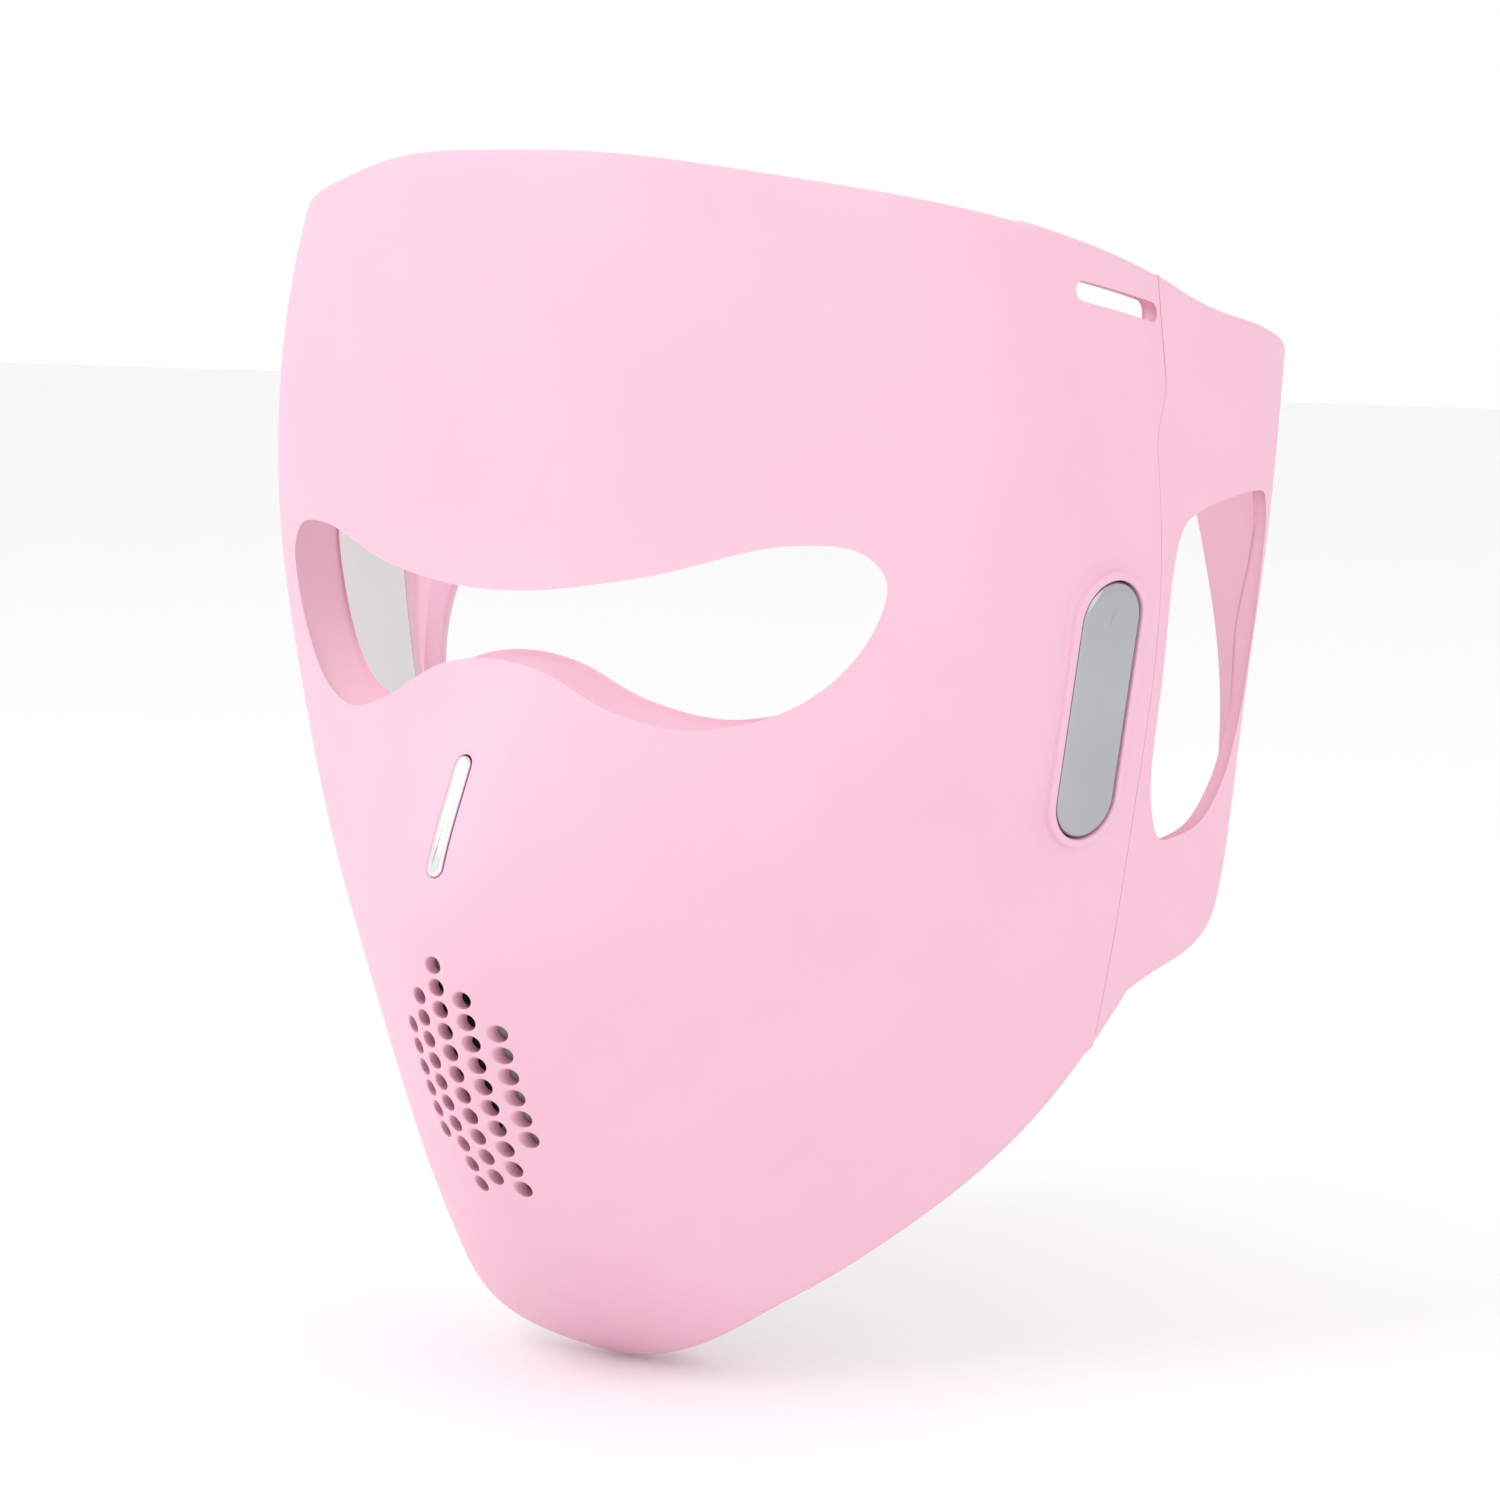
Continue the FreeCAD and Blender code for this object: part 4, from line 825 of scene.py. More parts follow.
class Flank(Patch):
    """Side strip from the last of the face, over a soft valley, to the rear of the wing.

    Its first parameter is about the distance behind the crease, in millimetres.
    """

    step = 1e-3
    face_pace = 120.0
    wing_pace = 14.0

    def __init__(self, face: Net, wing: Net, front: float, rear: float) -> None:
        """Join both surfaces; the valley runs from front ahead of the crease to rear behind it."""
        self.face, self.wing, self.front, self.rear = face, wing, front, rear

    def flat(self, uv: np.ndarray) -> np.ndarray:
        """Places on the flat map, in millimetres."""
        return uv * (1.0, 22.0)

    def unflat(self, places: np.ndarray) -> np.ndarray:
        """Parameters of places on the flat map."""
        return places / (1.0, 22.0)

    def on_face(self, back: np.ndarray, v: np.ndarray) -> np.ndarray:
        """Points of the face, carried straight on past the crease."""
        return self.face.at(np.stack([6.0 + np.minimum(back, 0) / self.face_pace, v], axis=1))

    def on_wing(self, back: np.ndarray, v: np.ndarray) -> np.ndarray:
        """Points of the wing."""
        return self.wing.at(np.stack([np.maximum(back, 0) / self.wing_pace, v], axis=1))

    def at(self, uv: np.ndarray) -> np.ndarray:
        """Points of the strip at rows of parameters."""
        back, v = uv[:, 0], uv[:, 1]
        made = np.where((back < 0)[:, None], self.on_face(back, v), self.on_wing(back, v))
        near = (back > -self.front) & (back < self.rear)
        if near.any():
            w, width, small = v[near], self.front + self.rear, 0.02
            start = np.full(len(w), -self.front)
            end = np.full(len(w), self.rear)
            a, b = self.on_face(start, w), self.on_wing(end, w)
            slope_a = (a - self.on_face(start - small, w)) / small * width
            slope_b = (self.on_wing(end + small, w) - b) / small * width
            t = ((back[near] + self.front) / width)[:, None]
            made[near] = ((2 * t ** 3 - 3 * t ** 2 + 1) * a + (t ** 3 - 2 * t ** 2 + t) * slope_a
                          + (3 * t ** 2 - 2 * t ** 3) * b + (t ** 3 - t ** 2) * slope_b)
        return made


class FlankInner(Flank):
    """Skin side of the flank: a thin tongue over the shell's ledge, then the wing's own wall."""

    step = 0.01

    def __init__(self, outer: Flank, tongue: float, wall: float, ease: float) -> None:
        """Keep the outer side and its two thicknesses."""
        super().__init__(outer.face, outer.wing, outer.front, outer.rear)
        self.outer, self.tongue, self.wall, self.ease = outer, tongue, wall, ease

    def at(self, uv: np.ndarray) -> np.ndarray:
        """Points of the strip at rows of parameters."""
        share = smooth_step((uv[:, 0] - 0.4) / self.ease)
        thick = self.tongue + (self.wall - self.tongue) * share
        return self.outer.at(uv) - self.outer.normals(uv) * thick[:, None]


# -------------------------------------------------------------------------------- shell

def stick(points: np.ndarray, where: np.ndarray, count: int) -> np.ndarray:
    """Parameters spread evenly over a row of points in space.

    Args:
        points: Points in space of a dense row.
        where: The row's parameters.
        count: Rows wanted.

    Returns:
        Parameters of the evenly spread points, both ends kept.
    """
    along = np.concatenate([[0], np.cumsum(np.linalg.norm(np.diff(points, axis=0), axis=1))])
    wanted = np.linspace(0, along[-1], count)
    return np.stack([np.interp(wanted, along, where[:, k]) for k in (0, 1)], axis=1)


def meet(patch: Patch, start: tuple, side: tuple, edge: tuple) -> np.ndarray:
    """Where two edges cross on a patch.

    Args:
        patch: The surface.
        start: First guess.
        side: Test along the first parameter with its low and high limits.
        edge: Test along the second parameter with its low and high limits.

    Returns:
        The crossing's parameters.
    """
    u, v = start
    for _ in range(8):
        u = patch.level(np.array([v]), 0, side[1], side[2], side[0])[0, 0]
        v = patch.level(np.array([u]), 1, edge[1], edge[2], edge[0])[0, 1]
    return np.array([u, v])


@dataclass
class Shell:
    """One-piece outer shell: face, openings, rims and the raised collars of the keys."""

    form: FaceForm = field(default_factory=FaceForm)
    body_thickness: float = 10.6
    wall: float = 2.6
    rim_width: float = 2.4
    cavity_rear: float = 7.0
    cavity_depth: float = 8.0
    corner_wall: float = 3.0
    corner: tuple = (-34.0, 172.0)
    corner_ease: float = 1.5
    ledge_depth: float = 1.85
    seam_back: float = -6.5
    seam_back_top: float = -1.3
    crease_gap: float = 0.3
    edge_round: float = 1.5
    inner_round: float = 0.7
    vent_width: float = 3.0
    vent_pitch: tuple = (4.3, 3.83)
    vent_top: float = 77.0
    vent_columns: tuple = ((-2, 3, 6), (-1, 1.5, 10), (0, 0, 11), (1, 1.5, 10), (2, 3, 6))
    vent_round: float = 0.4
    slot_place: tuple = (-14.2, 184.9)
    slot_fall: float = 0.2
    slot_size: tuple = (25.0, 5.0)
    strip_middle: float = 101.2
    strip_size: tuple = (19.2, 3.0)
    strip_depth: float = 1.2
    strip_gap: float = 0.15
    key_place: tuple = (-20.6, 117.0)
    key_size: tuple = (44.4, 13.4)
    key_gap: float = 0.35
    collar_width: float = 1.5
    collar_proud: float = 0.8
    collar_fillet: float = 1.6
    spacing: float = 2.0
    middle: float = 3.0
    jaw_reach: tuple = (0.0, 4.0)
    top_reach: tuple = (5.0, 10.0)
    jaw_guess: float = 2.2
    top_guess: float = 9.0
    dense: int = 400
    outline_points: tuple = (240, 130)
    cavity_points: tuple = (200, 160)
    eye_points: int = 220
    vent_points: int = 18
    strip_points: int = 64
    slot_points: int = 72

    def seam(self, heights: np.ndarray) -> np.ndarray:
        """Where the wing's sheet starts, along Y."""
        share = smooth_step((heights - 160.0) / 12.0)
        return self.seam_back + (self.seam_back_top - self.seam_back) * share

    def rear(self, heights: np.ndarray) -> np.ndarray:
        """Where the shell ends, along Y."""
        return np.minimum(-self.crease_gap / 2, self.form.ear_front(heights))

    def outline(self, patch: Patch, back: Callable, drop: float,
                counts: tuple) -> tuple[np.ndarray, list[int]]:
        """Closed outline between jaw, top edge and two rear lines.

        Args:
            patch: The surface.
            back: Function of the heights that gives the rear lines.
            drop: How far inside the top and jaw edges it runs.
            counts: Points along the jaw and the top, and along each side.

        Returns:
            The outline's parameters, and where each of its four parts starts.
        """
        form, (wide, tall) = self.form, counts

        def behind(pts: np.ndarray) -> np.ndarray:
            """How far points are behind the rear line."""
            return pts[:, 1] - back(pts[:, 2])

        def over_top(pts: np.ndarray) -> np.ndarray:
            """How far points are above the dropped top edge."""
            return form.above(pts, drop)

        def over_jaw(pts: np.ndarray) -> np.ndarray:
            """How far points are above the raised jaw edge."""
            return form.over_jaw(pts, drop)

        jaw, top = (over_jaw, *self.jaw_reach), (over_top, *self.top_reach)
        ends = {}
        for side, limit in (("right", 0.0), ("left", 6.0)):
            behind_side = (behind, self.middle, limit)
            ends[side, "jaw"] = meet(patch, (limit, self.jaw_guess), behind_side, jaw)
            ends[side, "top"] = meet(patch, (limit, self.top_guess), behind_side, top)
        parts = []
        for one, two, place, (test, low, high) in (("right", "left", "jaw", jaw),
                                                   ("left", "right", "top", top)):
            u = np.linspace(ends[one, place][0], ends[two, place][0], self.dense)
            dense = patch.level(u, 1, low, high, test)
            parts.append(stick(patch.at(dense), dense, wide)[:-1])
        rows = []
        for side, limit, first, last in (("left", 6.0, "jaw", "top"), ("right", 0.0, "top", "jaw")):
            v = np.linspace(ends[side, first][1], ends[side, last][1], tall)
            rows.append(patch.level(v, 0, self.middle, limit, behind)[:-1])
        order = [parts[0], rows[0], parts[1], rows[1]]
        starts = list(np.cumsum([0] + [len(part) for part in order]))
        return np.concatenate(order), starts

    def key_frame(self, face: Net) -> tuple[np.ndarray, np.ndarray, np.ndarray]:
        """Left key's centre, its axes as rows (side, up, out) and its parameters."""
        y, z = self.key_place
        uv = face.along(np.array([[81.0, y, z]]), (1, 0, 0), np.array([5.6, 5.8]))
        out = face.normals(uv)[0]
        up = face.slopes(uv)[1][0]
        side = np.cross(up, out)
        side = side / np.linalg.norm(side)
        return face.at(uv)[0], np.stack([side, np.cross(out, side), out]), uv[0]

    def collar(self, skin: Skin, face: Net, sign: float) -> Loop:
        """Raised collar round one key.

        Args:
            skin: Where the points go.
            face: The outer surface.
            sign: 1 for the left key, -1 for the right one.

        Returns:
            The loop where the collar's fillet meets the face.
        """
        origin, axes, start = self.key_frame(face)
        flip = np.array([sign, 1.0, 1.0])
        begin = start if sign > 0 else np.array([6.0 - start[0], start[1]])

        def ring(grow: float, height: float) -> np.ndarray:
            """Points of an outline round the key at a height above it."""
            flat = stadium_loop(*self.key_size, 96, grow)[::-int(sign)]
            return (origin + flat @ axes[:2] + axes[2] * height) * flip

        outside = self.key_gap + self.collar_width
        uv = face.along(ring(outside + self.collar_fillet, 0.0), tuple(axes[2] * flip), begin)
        foot = face.at(uv)
        base_uv = face.along(ring(outside, 0.0), tuple(axes[2] * flip), begin)
        base = face.at(base_uv)
        brow = ring(outside, self.collar_proud)
        lip = ring(outside - 0.5, self.collar_proud)
        waist = base + (brow - base) * 0.45
        mouth = ring(self.key_gap, self.collar_proud)
        rows = [foot, *bend(foot, base, waist, 4), waist, *bend(waist, brow, lip, 3), lip,
                ring(self.key_gap + 0.35, self.collar_proud),
                *bend(ring(self.key_gap + 0.35, self.collar_proud), mouth,
                      ring(self.key_gap, self.collar_proud - 0.35), 2),
                ring(self.key_gap, self.collar_proud - 0.35), ring(self.key_gap, -self.wall - 1.5)]
        ids = [skin.add(row) for row in rows]
        for one, two in zip(ids, ids[1:]):
            skin.strip(one, two, True)
        return Loop(uv, ids[0])

    def opening(self, skin: Skin, face: Net, low: Net, targets: np.ndarray, direction: tuple,
                start: tuple, radii: tuple) -> tuple[Loop, Loop]:
        """Cut an opening through the wall along a direction; targets run clockwise."""
        uv = face.along(targets, direction, np.array(start))
        return skin.rim(face, uv, low, low.along(targets, direction, uv), radii)

    def edges(self, skin: Skin, face: FaceNet, inner: InnerFace) -> tuple[Loop, Loop]:
        """Rounded outer edge all round, with the ledge under each wing's sheet.

        Args:
            skin: Where the points go.
            face: The outer surface.
            inner: The skin side.

        Returns:
            The loops that bound the outer and the inner face.
        """
        counts, ledge = self.outline_points, face.sunk(self.ledge_depth)
        top_uv, starts = self.outline(face, self.seam, 0.0, counts)
        ledge_uv, _ = self.outline(ledge, self.seam, 0.0, counts)
        end_uv, _ = self.outline(ledge, self.rear, 0.0, counts)
        low_uv, _ = self.outline(face.sunk(self.body_thickness), self.rear, 0.0, counts)
        p, q = face.at(top_uv), inner.at(low_uv)
        on_side = np.zeros(len(p), bool)
        on_side[starts[1]:starts[2] + 1] = on_side[starts[3]:] = on_side[0] = True
        plain = p + (q - p) * 0.4, p + (q - p) * 0.55
        shelves = tuple(np.where(on_side[:, None], shelf, other) for shelf, other in
                        zip((ledge.at(ledge_uv), ledge.at(end_uv)), plain))
        round_top = np.where(on_side, 0.05, self.edge_round)
        return skin.rim(face, top_uv, inner, low_uv, (round_top, self.inner_round), shelves)

    def eye(self, skin: Skin, face: FaceNet, inner: InnerFace, cavity: Net) -> Loop:
        """Eye opening with its flat rim at the skin side.

        Args:
            skin: Where the points go.
            face: The outer surface.
            inner: The skin side.
            cavity: Surface where the rim's wall ends.

        Returns:
            The loop that bounds the outer face.
        """
        direction = (0.0, 1.0, self.form.eye_rise)
        targets = self.form.eye_loop(0.0, self.eye_points)
        uv = face.along(targets, direction, np.array([self.middle, 6.8]))
        low_eye = inner.along(targets, direction, uv)
        hole, ring = skin.rim(face, uv, inner, low_eye, (self.edge_round, self.inner_round))
        wide = self.form.eye_loop(self.rim_width, self.eye_points)
        eye_uv = inner.along(wide, direction, low_eye)
        ids = skin.add(inner.at(eye_uv))
        skin.strip(ring.ids, ids, True)
        skin.strip(ids, skin.add(cavity.at(eye_uv)), True)
        return hole

    def vents(self, skin: Skin, face: FaceNet) -> list[Loop]:
        """Field of round vents over the mouth; returns the loops in the outer face."""
        low, holes, radius = face.sunk(self.wall + 0.4), [], self.vent_width / 2
        angle = -np.arange(self.vent_points) / self.vent_points * 2 * math.pi
        for column, lead, count in self.vent_columns:
            for i in range(count):
                x = column * self.vent_pitch[0]
                z = self.vent_top - (lead + i) * self.vent_pitch[1]
                circle = np.stack([x + radius * np.cos(angle), np.full(len(angle), -90.0),
                                   z + radius * np.sin(angle)], axis=1)
                holes.append(self.opening(skin, face, low, circle, (0, 1, 0),
                                          (self.middle + x / 40, 3.2), (self.vent_round, 0.05))[0])
        return holes

    def recess(self, skin: Skin, face: FaceNet) -> Loop:
        """Recess of the nose strip; returns the loop in the outer face."""
        flat = stadium_loop(*self.strip_size, self.strip_points, self.strip_gap)[::-1]
        line = np.stack([flat[:, 0], np.full(len(flat), -95.0), self.strip_middle + flat[:, 1]],
                        axis=1)
        return self.opening(skin, face, face.sunk(self.strip_depth + 0.3), line, (0, 1, 0),
                            (self.middle, 5.0), (0.35, 0.05))[0]

    def strap_slots(self, skin: Skin, face: FaceNet, inner: InnerFace) -> list[tuple]:
        """Both strap slots; returns each one's loops in the outer and the inner face."""
        tilt, found = math.atan(self.slot_fall), []
        flat = stadium_loop(*self.slot_size, self.slot_points)
        for sign, begin in ((1.0, 5.7), (-1.0, 0.3)):
            line = flat if sign < 0 else flat[::-1]
            y = self.slot_place[0] + line[:, 1] * math.cos(tilt) + line[:, 0] * math.sin(tilt)
            z = self.slot_place[1] - line[:, 1] * math.sin(tilt) + line[:, 0] * math.cos(tilt)
            targets = np.stack([np.full(len(flat), 75.0 * sign), y, z], axis=1)
            found.append(self.opening(skin, face, inner, targets, (1, 0, 0), (begin, 8.7),
                                      (0.8, 0.5)))
        return found

    def build(self) -> bpy.types.Object:
        """Make the shell.

        Returns:
            The dressed object, riding the mask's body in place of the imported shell.
        """
        skin, face = Skin(), self.form.face()
        inner = InnerFace(face, self.body_thickness, self.corner_wall, self.corner,
                          self.corner_ease)
        cavity = face.sunk(self.cavity_depth)
        outer, back = self.edges(skin, face, inner)
        holes = [self.collar(skin, face, 1.0), self.collar(skin, face, -1.0),
                 self.eye(skin, face, inner, cavity), *self.vents(skin, face),
                 self.recess(skin, face)]
        slots = self.strap_slots(skin, face, inner)
        skin.fill(face, outer, holes + [hole for hole, _ in slots], self.spacing)
        cavity_uv = self.cavity(face.sunk(self.body_thickness))
        ids = skin.add(inner.at(cavity_uv))
        skin.strip(ids, skin.add(cavity.at(cavity_uv)), True)
        skin.fill(inner, back, [Loop(cavity_uv, ids), *(low for _, low in slots)],
                  self.spacing * 1.3)
        made = skin.piece("shell_skin", BODY_PINK)
        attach(made, "mask")
        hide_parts("outer_shell")
        return made

    def cavity(self, deep: Net) -> np.ndarray:
        """Outline of the hollow at the skin side, round the strap corners."""
        limit, ceiling = self.corner[0] - self.rim_width, self.corner[1] - self.rim_width

        def rear_line(heights: np.ndarray) -> np.ndarray:
            """Rear of the hollow at each height: ahead of the corners above their foot."""
            return np.where(heights > ceiling, limit, -self.cavity_rear)

        return self.outline(deep, rear_line, self.rim_width, self.cavity_points)[0]


# -------------------------------------------------------------------------------- wings

@dataclass
class Wing:
    """Thin flexible sheet at one side, from the valley at the crease to its rear edge."""

    side: str
    form: FaceForm = field(default_factory=FaceForm)
    shell: Shell = field(default_factory=Shell)
    valley_front: float = 3.0
    valley_rear: float = 5.5
    tongue: float = 1.6
    wall: float = 2.6
    wall_ease: float = 4.0
    seam_gap: float = 0.12
    edge_round: float = 1.15
    inner_round: float = 0.7
    rear_at: float = 41.98
    spacing: float = 2.0
    blend_start: float = -1.0
    blend_end: float = 4.0

    def top_height(self, y: np.ndarray) -> np.ndarray:
        """Height of the top edge at places along Y."""
        front_y, front_z = self.form.top_front
        lead = [(at, front_z - self.form.top_fall * (at - front_y)) for at in (-24.0, -12.0, 0.0)]
        return curve_height((*lead, *self.form.wing_top), y)

    def foot_height(self, points: np.ndarray) -> np.ndarray:
        """How far points are above the lower edge."""
        over = self.form.over_jaw(points)
        foot = points[:, 2] - curve_height(((0.0, 67.2), *self.form.wing_foot), points[:, 1])
        share = smooth_step((points[:, 1] + 2.0) / 4.0)
        return over + (foot - over) * share

    def outline(self, patch: Flank) -> tuple[np.ndarray, np.ndarray]:
        """Closed outline of the sheet and the share of edge rounding at each point."""
        def seam(pts: np.ndarray) -> np.ndarray:
            """How far points are behind the sheet's front edge."""
            return pts[:, 1] - self.shell.seam(pts[:, 2]) - self.seam_gap

        def over_top(pts: np.ndarray) -> np.ndarray:
            """How far points are above the top edge."""
            return pts[:, 2] - self.top_height(pts[:, 1])

        low = meet(patch, (-6.0, 3.0), (seam, -40.0, 0.0), (self.foot_height, 0.5, 6.0))
        high = meet(patch, (-2.0, 8.8), (seam, -40.0, 0.0), (over_top, 6.0, 9.9))
        foot_q = np.linspace(low[0], self.rear_at, 900)
        foot = patch.level(foot_q, 1, 0.5, 8.0, self.foot_height)
        top_q = np.linspace(self.rear_at, high[0], 600)
        top = patch.level(top_q, 1, 4.0, 9.9, over_top)
        rear_v = np.linspace(foot[-1, 1], top[0, 1], 200)
        rear = np.stack([np.full(200, self.rear_at), rear_v], axis=1)
        front_v = np.linspace(high[1], low[1], 150)
        front = patch.level(front_v, 0, -40.0, 0.0, seam)
        parts = [stick(patch.at(row), row, count)[:-1] for row, count in
                 ((foot, 120), (rear, 40), (top, 70), (front, 100))]
        share = np.concatenate([np.full(len(part), 1.0) for part in parts[:3]]
                               + [np.full(len(parts[3]), 0.04)])
        share[0] = 0.04
        return np.concatenate(parts), share

    def build(self) -> bpy.types.Object:
        """Make the wing.

        Returns:
            The dressed sheet, bending at the crease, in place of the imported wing.
        """
        form, skin = self.form, Skin()
        outer = Flank(form.face(), form.wing(), self.valley_front, self.valley_rear)
        inner = FlankInner(outer, self.tongue, self.wall, self.wall_ease)
        top_uv, share = self.outline(outer)
        low_uv, _ = self.outline(inner)
        radii = share * self.edge_round, np.maximum(share * self.inner_round, 0.03)
        bound, back = skin.rim(outer, top_uv, inner, low_uv, radii)
        targets = form.ear_loop(150)
        start = np.stack([targets[:, 1], np.interp(targets[:, 2], (92, 122, 142, 153),
                                                   (4.6, 6.0, 6.9, 7.4))], axis=1)
        if np.cross(targets[1] - targets[0], targets[2] - targets[1]) @ (1.0, 0.0, 0.0) > 0:
            targets, start = targets[::-1], start[::-1]
        uv = outer.along(targets, (1, 0, 0), start)
        low = inner.along(targets, (1, 0, 0), uv)
        hole, low_hole = skin.rim(outer, uv, inner, low, (self.edge_round, self.inner_round))
        skin.fill(outer, bound, [hole], self.spacing)
        skin.fill(inner, back, [low_hole], self.spacing)
        left = self.side == "left"
        made = skin.piece(f"{self.side}_wing_skin", BODY_PINK, mirror=not left)
        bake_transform(made)
        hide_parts(f"{self.side}_wing")
        return made


# ------------------------------------------------------------------------ keys and strip

def dome(skin: Skin, rings: list[np.ndarray]) -> None:
    """Close a solid from rings of equal length, capped flat at both ends."""
    ids = [skin.add(ring) for ring in rings]
    for one, two in zip(ids, ids[1:]):
        skin.strip(one, two, True)
    for row in (ids[0], ids[-1]):
        skin.faces.append(tuple(row))


@dataclass
class Key:
    """Chromed key with a broad soft bevel, and the skirt that keeps it in."""

    side: str
    shell: Shell = field(default_factory=Shell)
    proud: float = 1.2
    reach: float = 3.7
    skirt: float = 0.8
    skirt_lip: float = 0.9
    bevel: float = 1.7
    bevel_drop: float = 1.1
    crown: float = 0.25

    def build(self) -> bpy.types.Object:
        """Make the key.

        Returns:
            The dressed key on its own sliding body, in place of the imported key.
        """
        skin = Skin()
        origin, axes, _ = self.shell.key_frame(self.shell.form.face())

        def ring(shrink: float, height: float) -> np.ndarray:
            """Outline of the key, drawn in by a distance, at a height."""
            flat = stadium_loop(*self.shell.key_size, 120, -shrink)
            return origin + flat @ axes[:2] + axes[2] * height

        low = self.reach + self.skirt
        rings = [ring(-self.skirt_lip, -low), ring(-self.skirt_lip, -self.reach),
                 ring(0.0, -self.reach), ring(0.0, self.proud - self.bevel_drop)]
        steps = np.linspace(0.0, math.pi / 2, 9)[1:]
        rings += [ring(self.bevel * (1 - math.cos(t)),
                       self.proud - self.bevel_drop + (self.bevel_drop - self.crown) * math.sin(t))
                  for t in steps]
        rings += [ring(self.bevel + inset, self.proud - self.crown + self.crown * lift)
                  for inset, lift in ((1.2, 0.4), (2.6, 0.75), (4.0, 0.96), (4.8, 1.0))]
        dome(skin, rings)
        made = skin.piece(f"{self.side}_key_cap", KEY_CHROME, mirror=self.side == "right")
        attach(made, f"{self.side}_key")
        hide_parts(f"{self.side}_key")
        return made


@dataclass
class NoseStrip:
    """Slim bright strip that follows the bridge of the nose, rounded across."""

    shell: Shell = field(default_factory=Shell)
    proud: float = 0.6
    depth: float = 1.2
    soft: float = 0.75

    def build(self) -> bpy.types.Object:
        """Make the strip.

        Returns:
            The dressed strip, riding the mask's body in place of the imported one.
        """
        skin, face = Skin(), self.shell.form.face()
        length, width = self.shell.strip_size

        def ring(shrink: float, height: float) -> np.ndarray:
            """Outline of the strip, drawn in by a distance, at a height over the face."""
            flat = stadium_loop(length, width, 96, -shrink)
            targets = np.stack([flat[:, 0], np.full(96, -95.0),
                                self.shell.strip_middle + flat[:, 1]], axis=1)
            uv = face.along(targets, (0, 1, 0), np.array((3.0, 5.0)))
            return face.at(uv) + face.normals(uv) * height

        rings = [ring(0.0, -self.depth), ring(0.0, self.proud - self.soft)]
        rings += [ring(self.soft * (1 - math.cos(t)),
                       self.proud - self.soft * (1 - math.sin(t)))
                  for t in np.linspace(0.0, math.pi / 2, 6)[1:]]
        rings.append(ring(1.2, self.proud))
        dome(skin, rings)
        made = skin.piece("nose_strip", TRIM_CHROME)
        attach(made, "mask")
        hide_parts("nose_trim")
        return made


# --------------------------------------------------------------------------------- stage

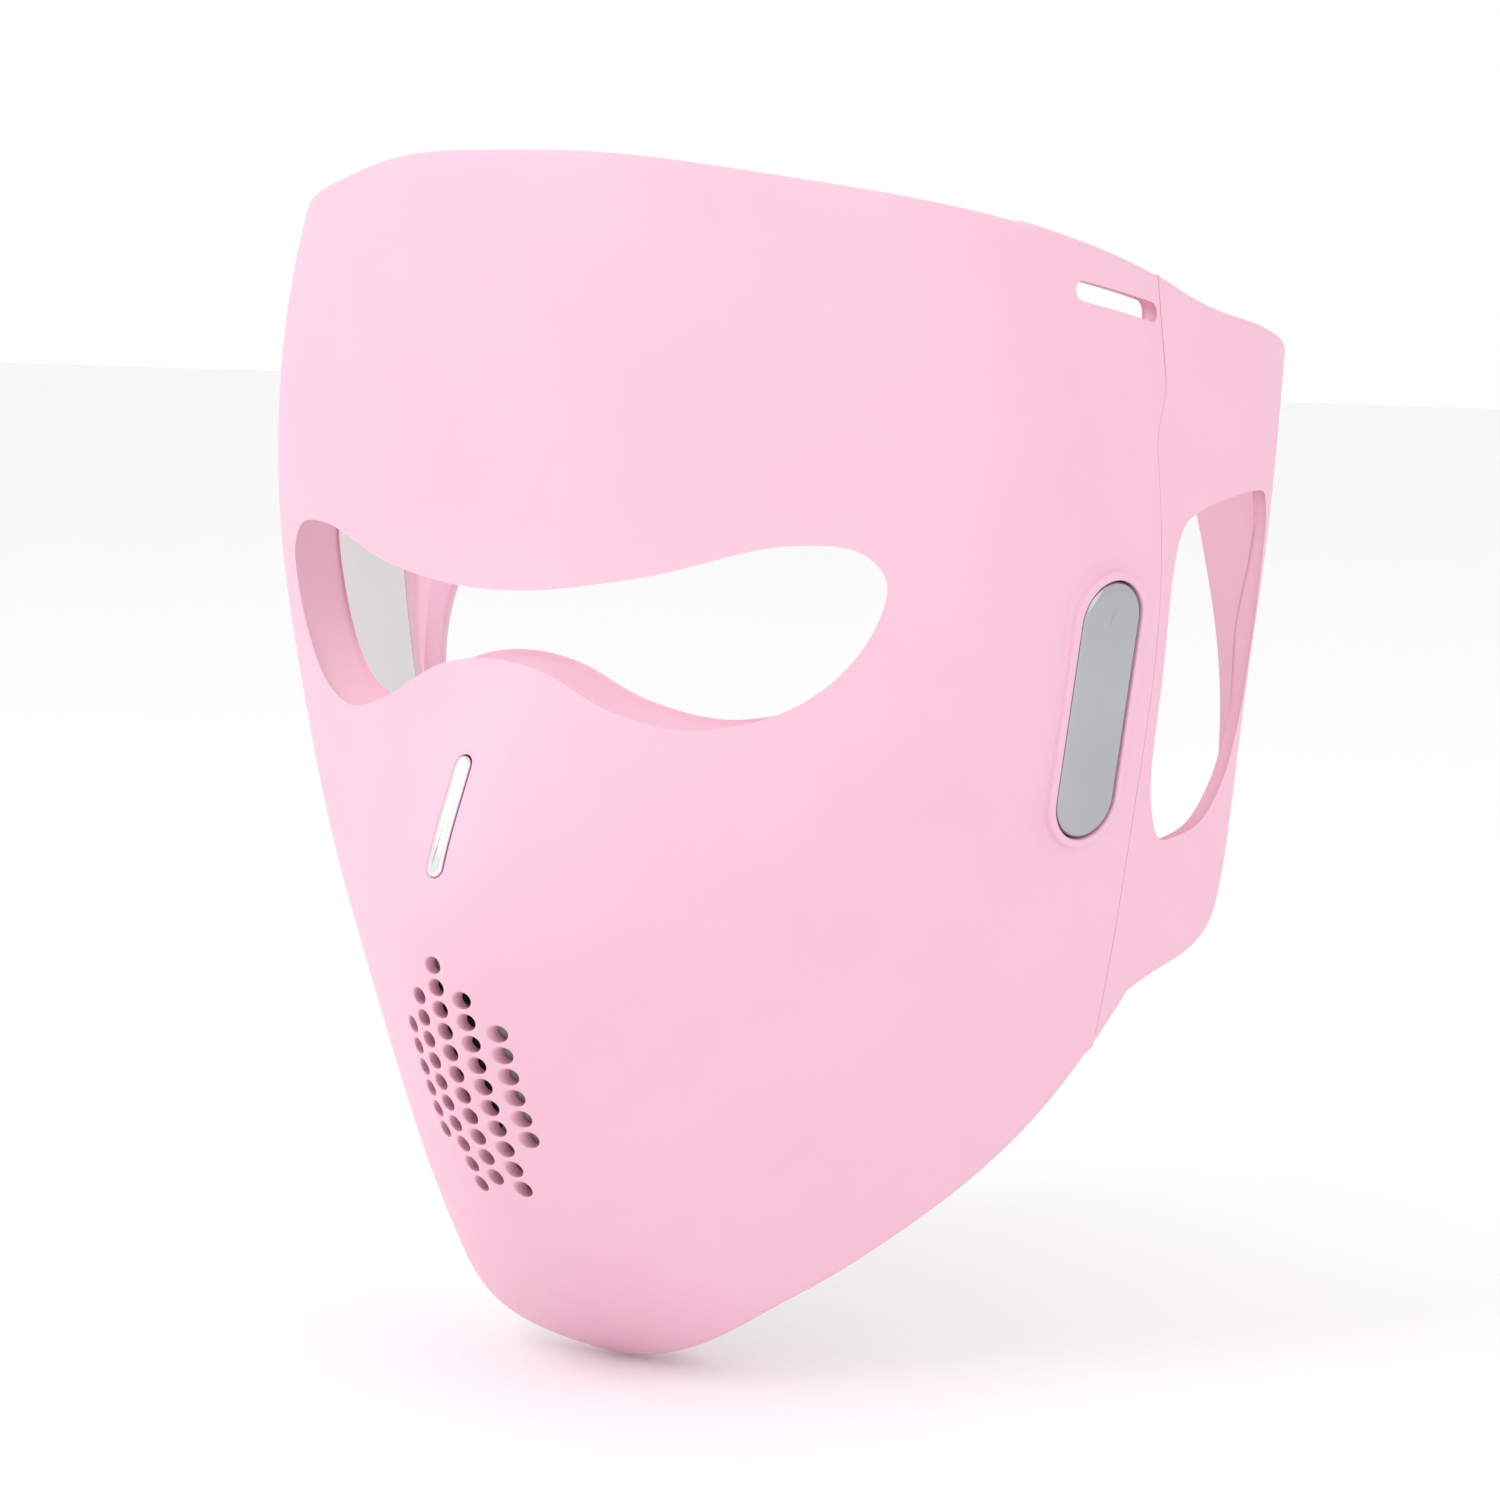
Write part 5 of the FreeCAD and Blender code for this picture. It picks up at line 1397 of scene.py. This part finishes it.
@dataclass
class Studio:
    """Camera, floor and lights; the floor's height comes from the object's own box."""

    azimuth: float = 35.0
    elevation: float = 6.8
    distance: float = 862.0
    lens: float = 120.0
    sensor: float = 36.0
    target: tuple[float, float, float] = (0.0, -45.0, 108.0)
    aim_right: float = 23.0
    aim_up: float = -0.7
    floor_side: float = 6000.0
    key_power: float = 5.5
    fill_power: float = 1.2
    world_strength: float = 1.0

    def back(self) -> Vector:
        """Unit vector from the object to the camera."""
        a, e = math.radians(self.azimuth), math.radians(self.elevation)
        return Vector((math.sin(a) * math.cos(e), -math.cos(a) * math.cos(e), math.sin(e)))

    def camera(self) -> bpy.types.Object:
        """Make the scene's camera.

        Returns:
            The camera, turned a little to the object's right of the target.
        """
        data = bpy.data.cameras.new("camera")
        data.lens = self.lens
        data.sensor_width = self.sensor
        data.clip_start, data.clip_end = 0.01, 50.0
        made = bpy.data.objects.new("camera", data)
        bpy.context.scene.collection.objects.link(made)
        target, back = Vector(self.target), self.back()
        right = Vector((0, 0, 1)).cross(back).normalized()
        up = back.cross(right)
        place = target + back * self.distance
        aim = target + right * self.aim_right + up * self.aim_up
        made.location = place * MM
        made.rotation_mode = "QUATERNION"
        made.rotation_quaternion = (aim - place).to_track_quat("-Z", "Y")
        bpy.context.scene.camera = made
        return made

    def floor(self, level: float) -> bpy.types.Object:
        """Make the pale floor just under the object.

        Args:
            level: Height of the object's lowest point, in metres.

        Returns:
            The floor, marked as stage.
        """
        mesh = bpy.data.meshes.new("floor")
        half = self.floor_side * MM / 2
        corners = [(-half, -half, level), (half, -half, level), (half, half, level),
                   (-half, half, level)]
        mesh.from_pydata(corners, [], [(0, 1, 2, 3)])
        made = bpy.data.objects.new("floor", mesh)
        bpy.context.scene.collection.objects.link(made)
        dress(made, FLOOR_WHITE)
        made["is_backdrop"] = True
        return made

    def softbox(self, name: str, place: tuple, side: float, power: float) -> bpy.types.Object:
        """Hang one square area light that faces the object.

        Args:
            name: The light's name.
            place: Where it hangs, in millimetres.
            side: Side of the square, in millimetres.
            power: Watts.

        Returns:
            The light.
        """
        data = bpy.data.lights.new(name, "AREA")
        data.shape = "SQUARE"
        data.size = side * MM
        data.energy = power
        made = bpy.data.objects.new(name, data)
        bpy.context.scene.collection.objects.link(made)
        made.location = Vector(place) * MM
        made.rotation_mode = "QUATERNION"
        made.rotation_quaternion = (Vector(self.target) - Vector(place)).to_track_quat("-Z", "Y")
        return made

    def sky(self) -> None:
        """Light the scene evenly from a pale surround."""
        world = bpy.data.worlds.new("surround")
        world.use_nodes = True
        shade = world.node_tree.nodes["Background"]
        shade.inputs["Color"].default_value = (1.0, 1.0, 1.0, 1.0)
        shade.inputs["Strength"].default_value = self.world_strength
        bpy.context.scene.world = world

    def build(self, level: float) -> None:
        """Make the whole studio round an object that stands at a level."""
        self.camera()
        self.floor(level)
        self.softbox("key_light", (-500.0, -900.0, 1100.0), 700.0, self.key_power)
        self.softbox("fill_light", (1000.0, -500.0, 500.0), 900.0, self.fill_power)
        self.sky()
        LOG.info("studio built")


# ------------------------------------------------------------------------------ assembly

@dataclass
class InnerParts:
    """Everything between the shells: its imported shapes, each with a finish of its own."""

    plain: dict[str, Finish] = field(default_factory=lambda: {
        "mouth_grille": GRILLE_PALE, "vent_mesh": MESH_BLACK, "link_ribbon": FLEX_AMBER,
        "forehead_led_board": FLEX_AMBER, "chin_led_board": FLEX_AMBER,
        "forehead_leds": LENS_CLEAR, "chin_leds": LENS_CLEAR, "main_board": BOARD_GREEN,
        "control_chip": CHIP_BLACK, "charging_port": NICKEL, "liner_screws": SCREW_ZINC,
        "key_board_screws": SCREW_ZINC, "face_liner": LINER_SILICONE})
    paired: dict[str, Finish] = field(default_factory=lambda: {
        "key_board": BOARD_GREEN, "switch_body": CHIP_BLACK, "switch_plunger": PLUNGER_RED,
        "cheek_led_board": FLEX_AMBER, "cheek_leds": LENS_CLEAR, "battery": CELL_FOIL,
        "motor_case": MOTOR_STEEL, "motor_shaft": MOTOR_STEEL, "motor_weight": WEIGHT_STEEL})

    def build(self, nodes: dict[str, bpy.types.Object]) -> None:
        """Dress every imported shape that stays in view.

        Args:
            nodes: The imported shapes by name.
        """
        wanted = dict(self.plain)
        for side in ("left", "right"):
            wanted.update({f"{side}_{name}": finish for name, finish in self.paired.items()})
        for name, finish in wanted.items():
            dress(nodes[name], finish)
        LOG.info("%d inner parts dressed", len(wanted))


def corners(box: tuple) -> list[list[float]]:
    """A box's two corners as plain lists."""
    return [list(corner) for corner in box]


def main() -> None:
    """Build every sub-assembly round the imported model."""
    bpy.context.scene.view_settings.view_transform = "Standard"
    logging.basicConfig(level=logging.INFO, format="%(name)s: %(message)s")
    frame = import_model()
    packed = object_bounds()
    nodes = frame["nodes"]
    InnerParts().build(nodes)
    Shell().build()
    for side in ("left", "right"):
        Wing(side).build()
        Key(side).build()
    NoseStrip().build()
    Studio().build(packed[0].z)


if __name__ == "__main__":
    main()
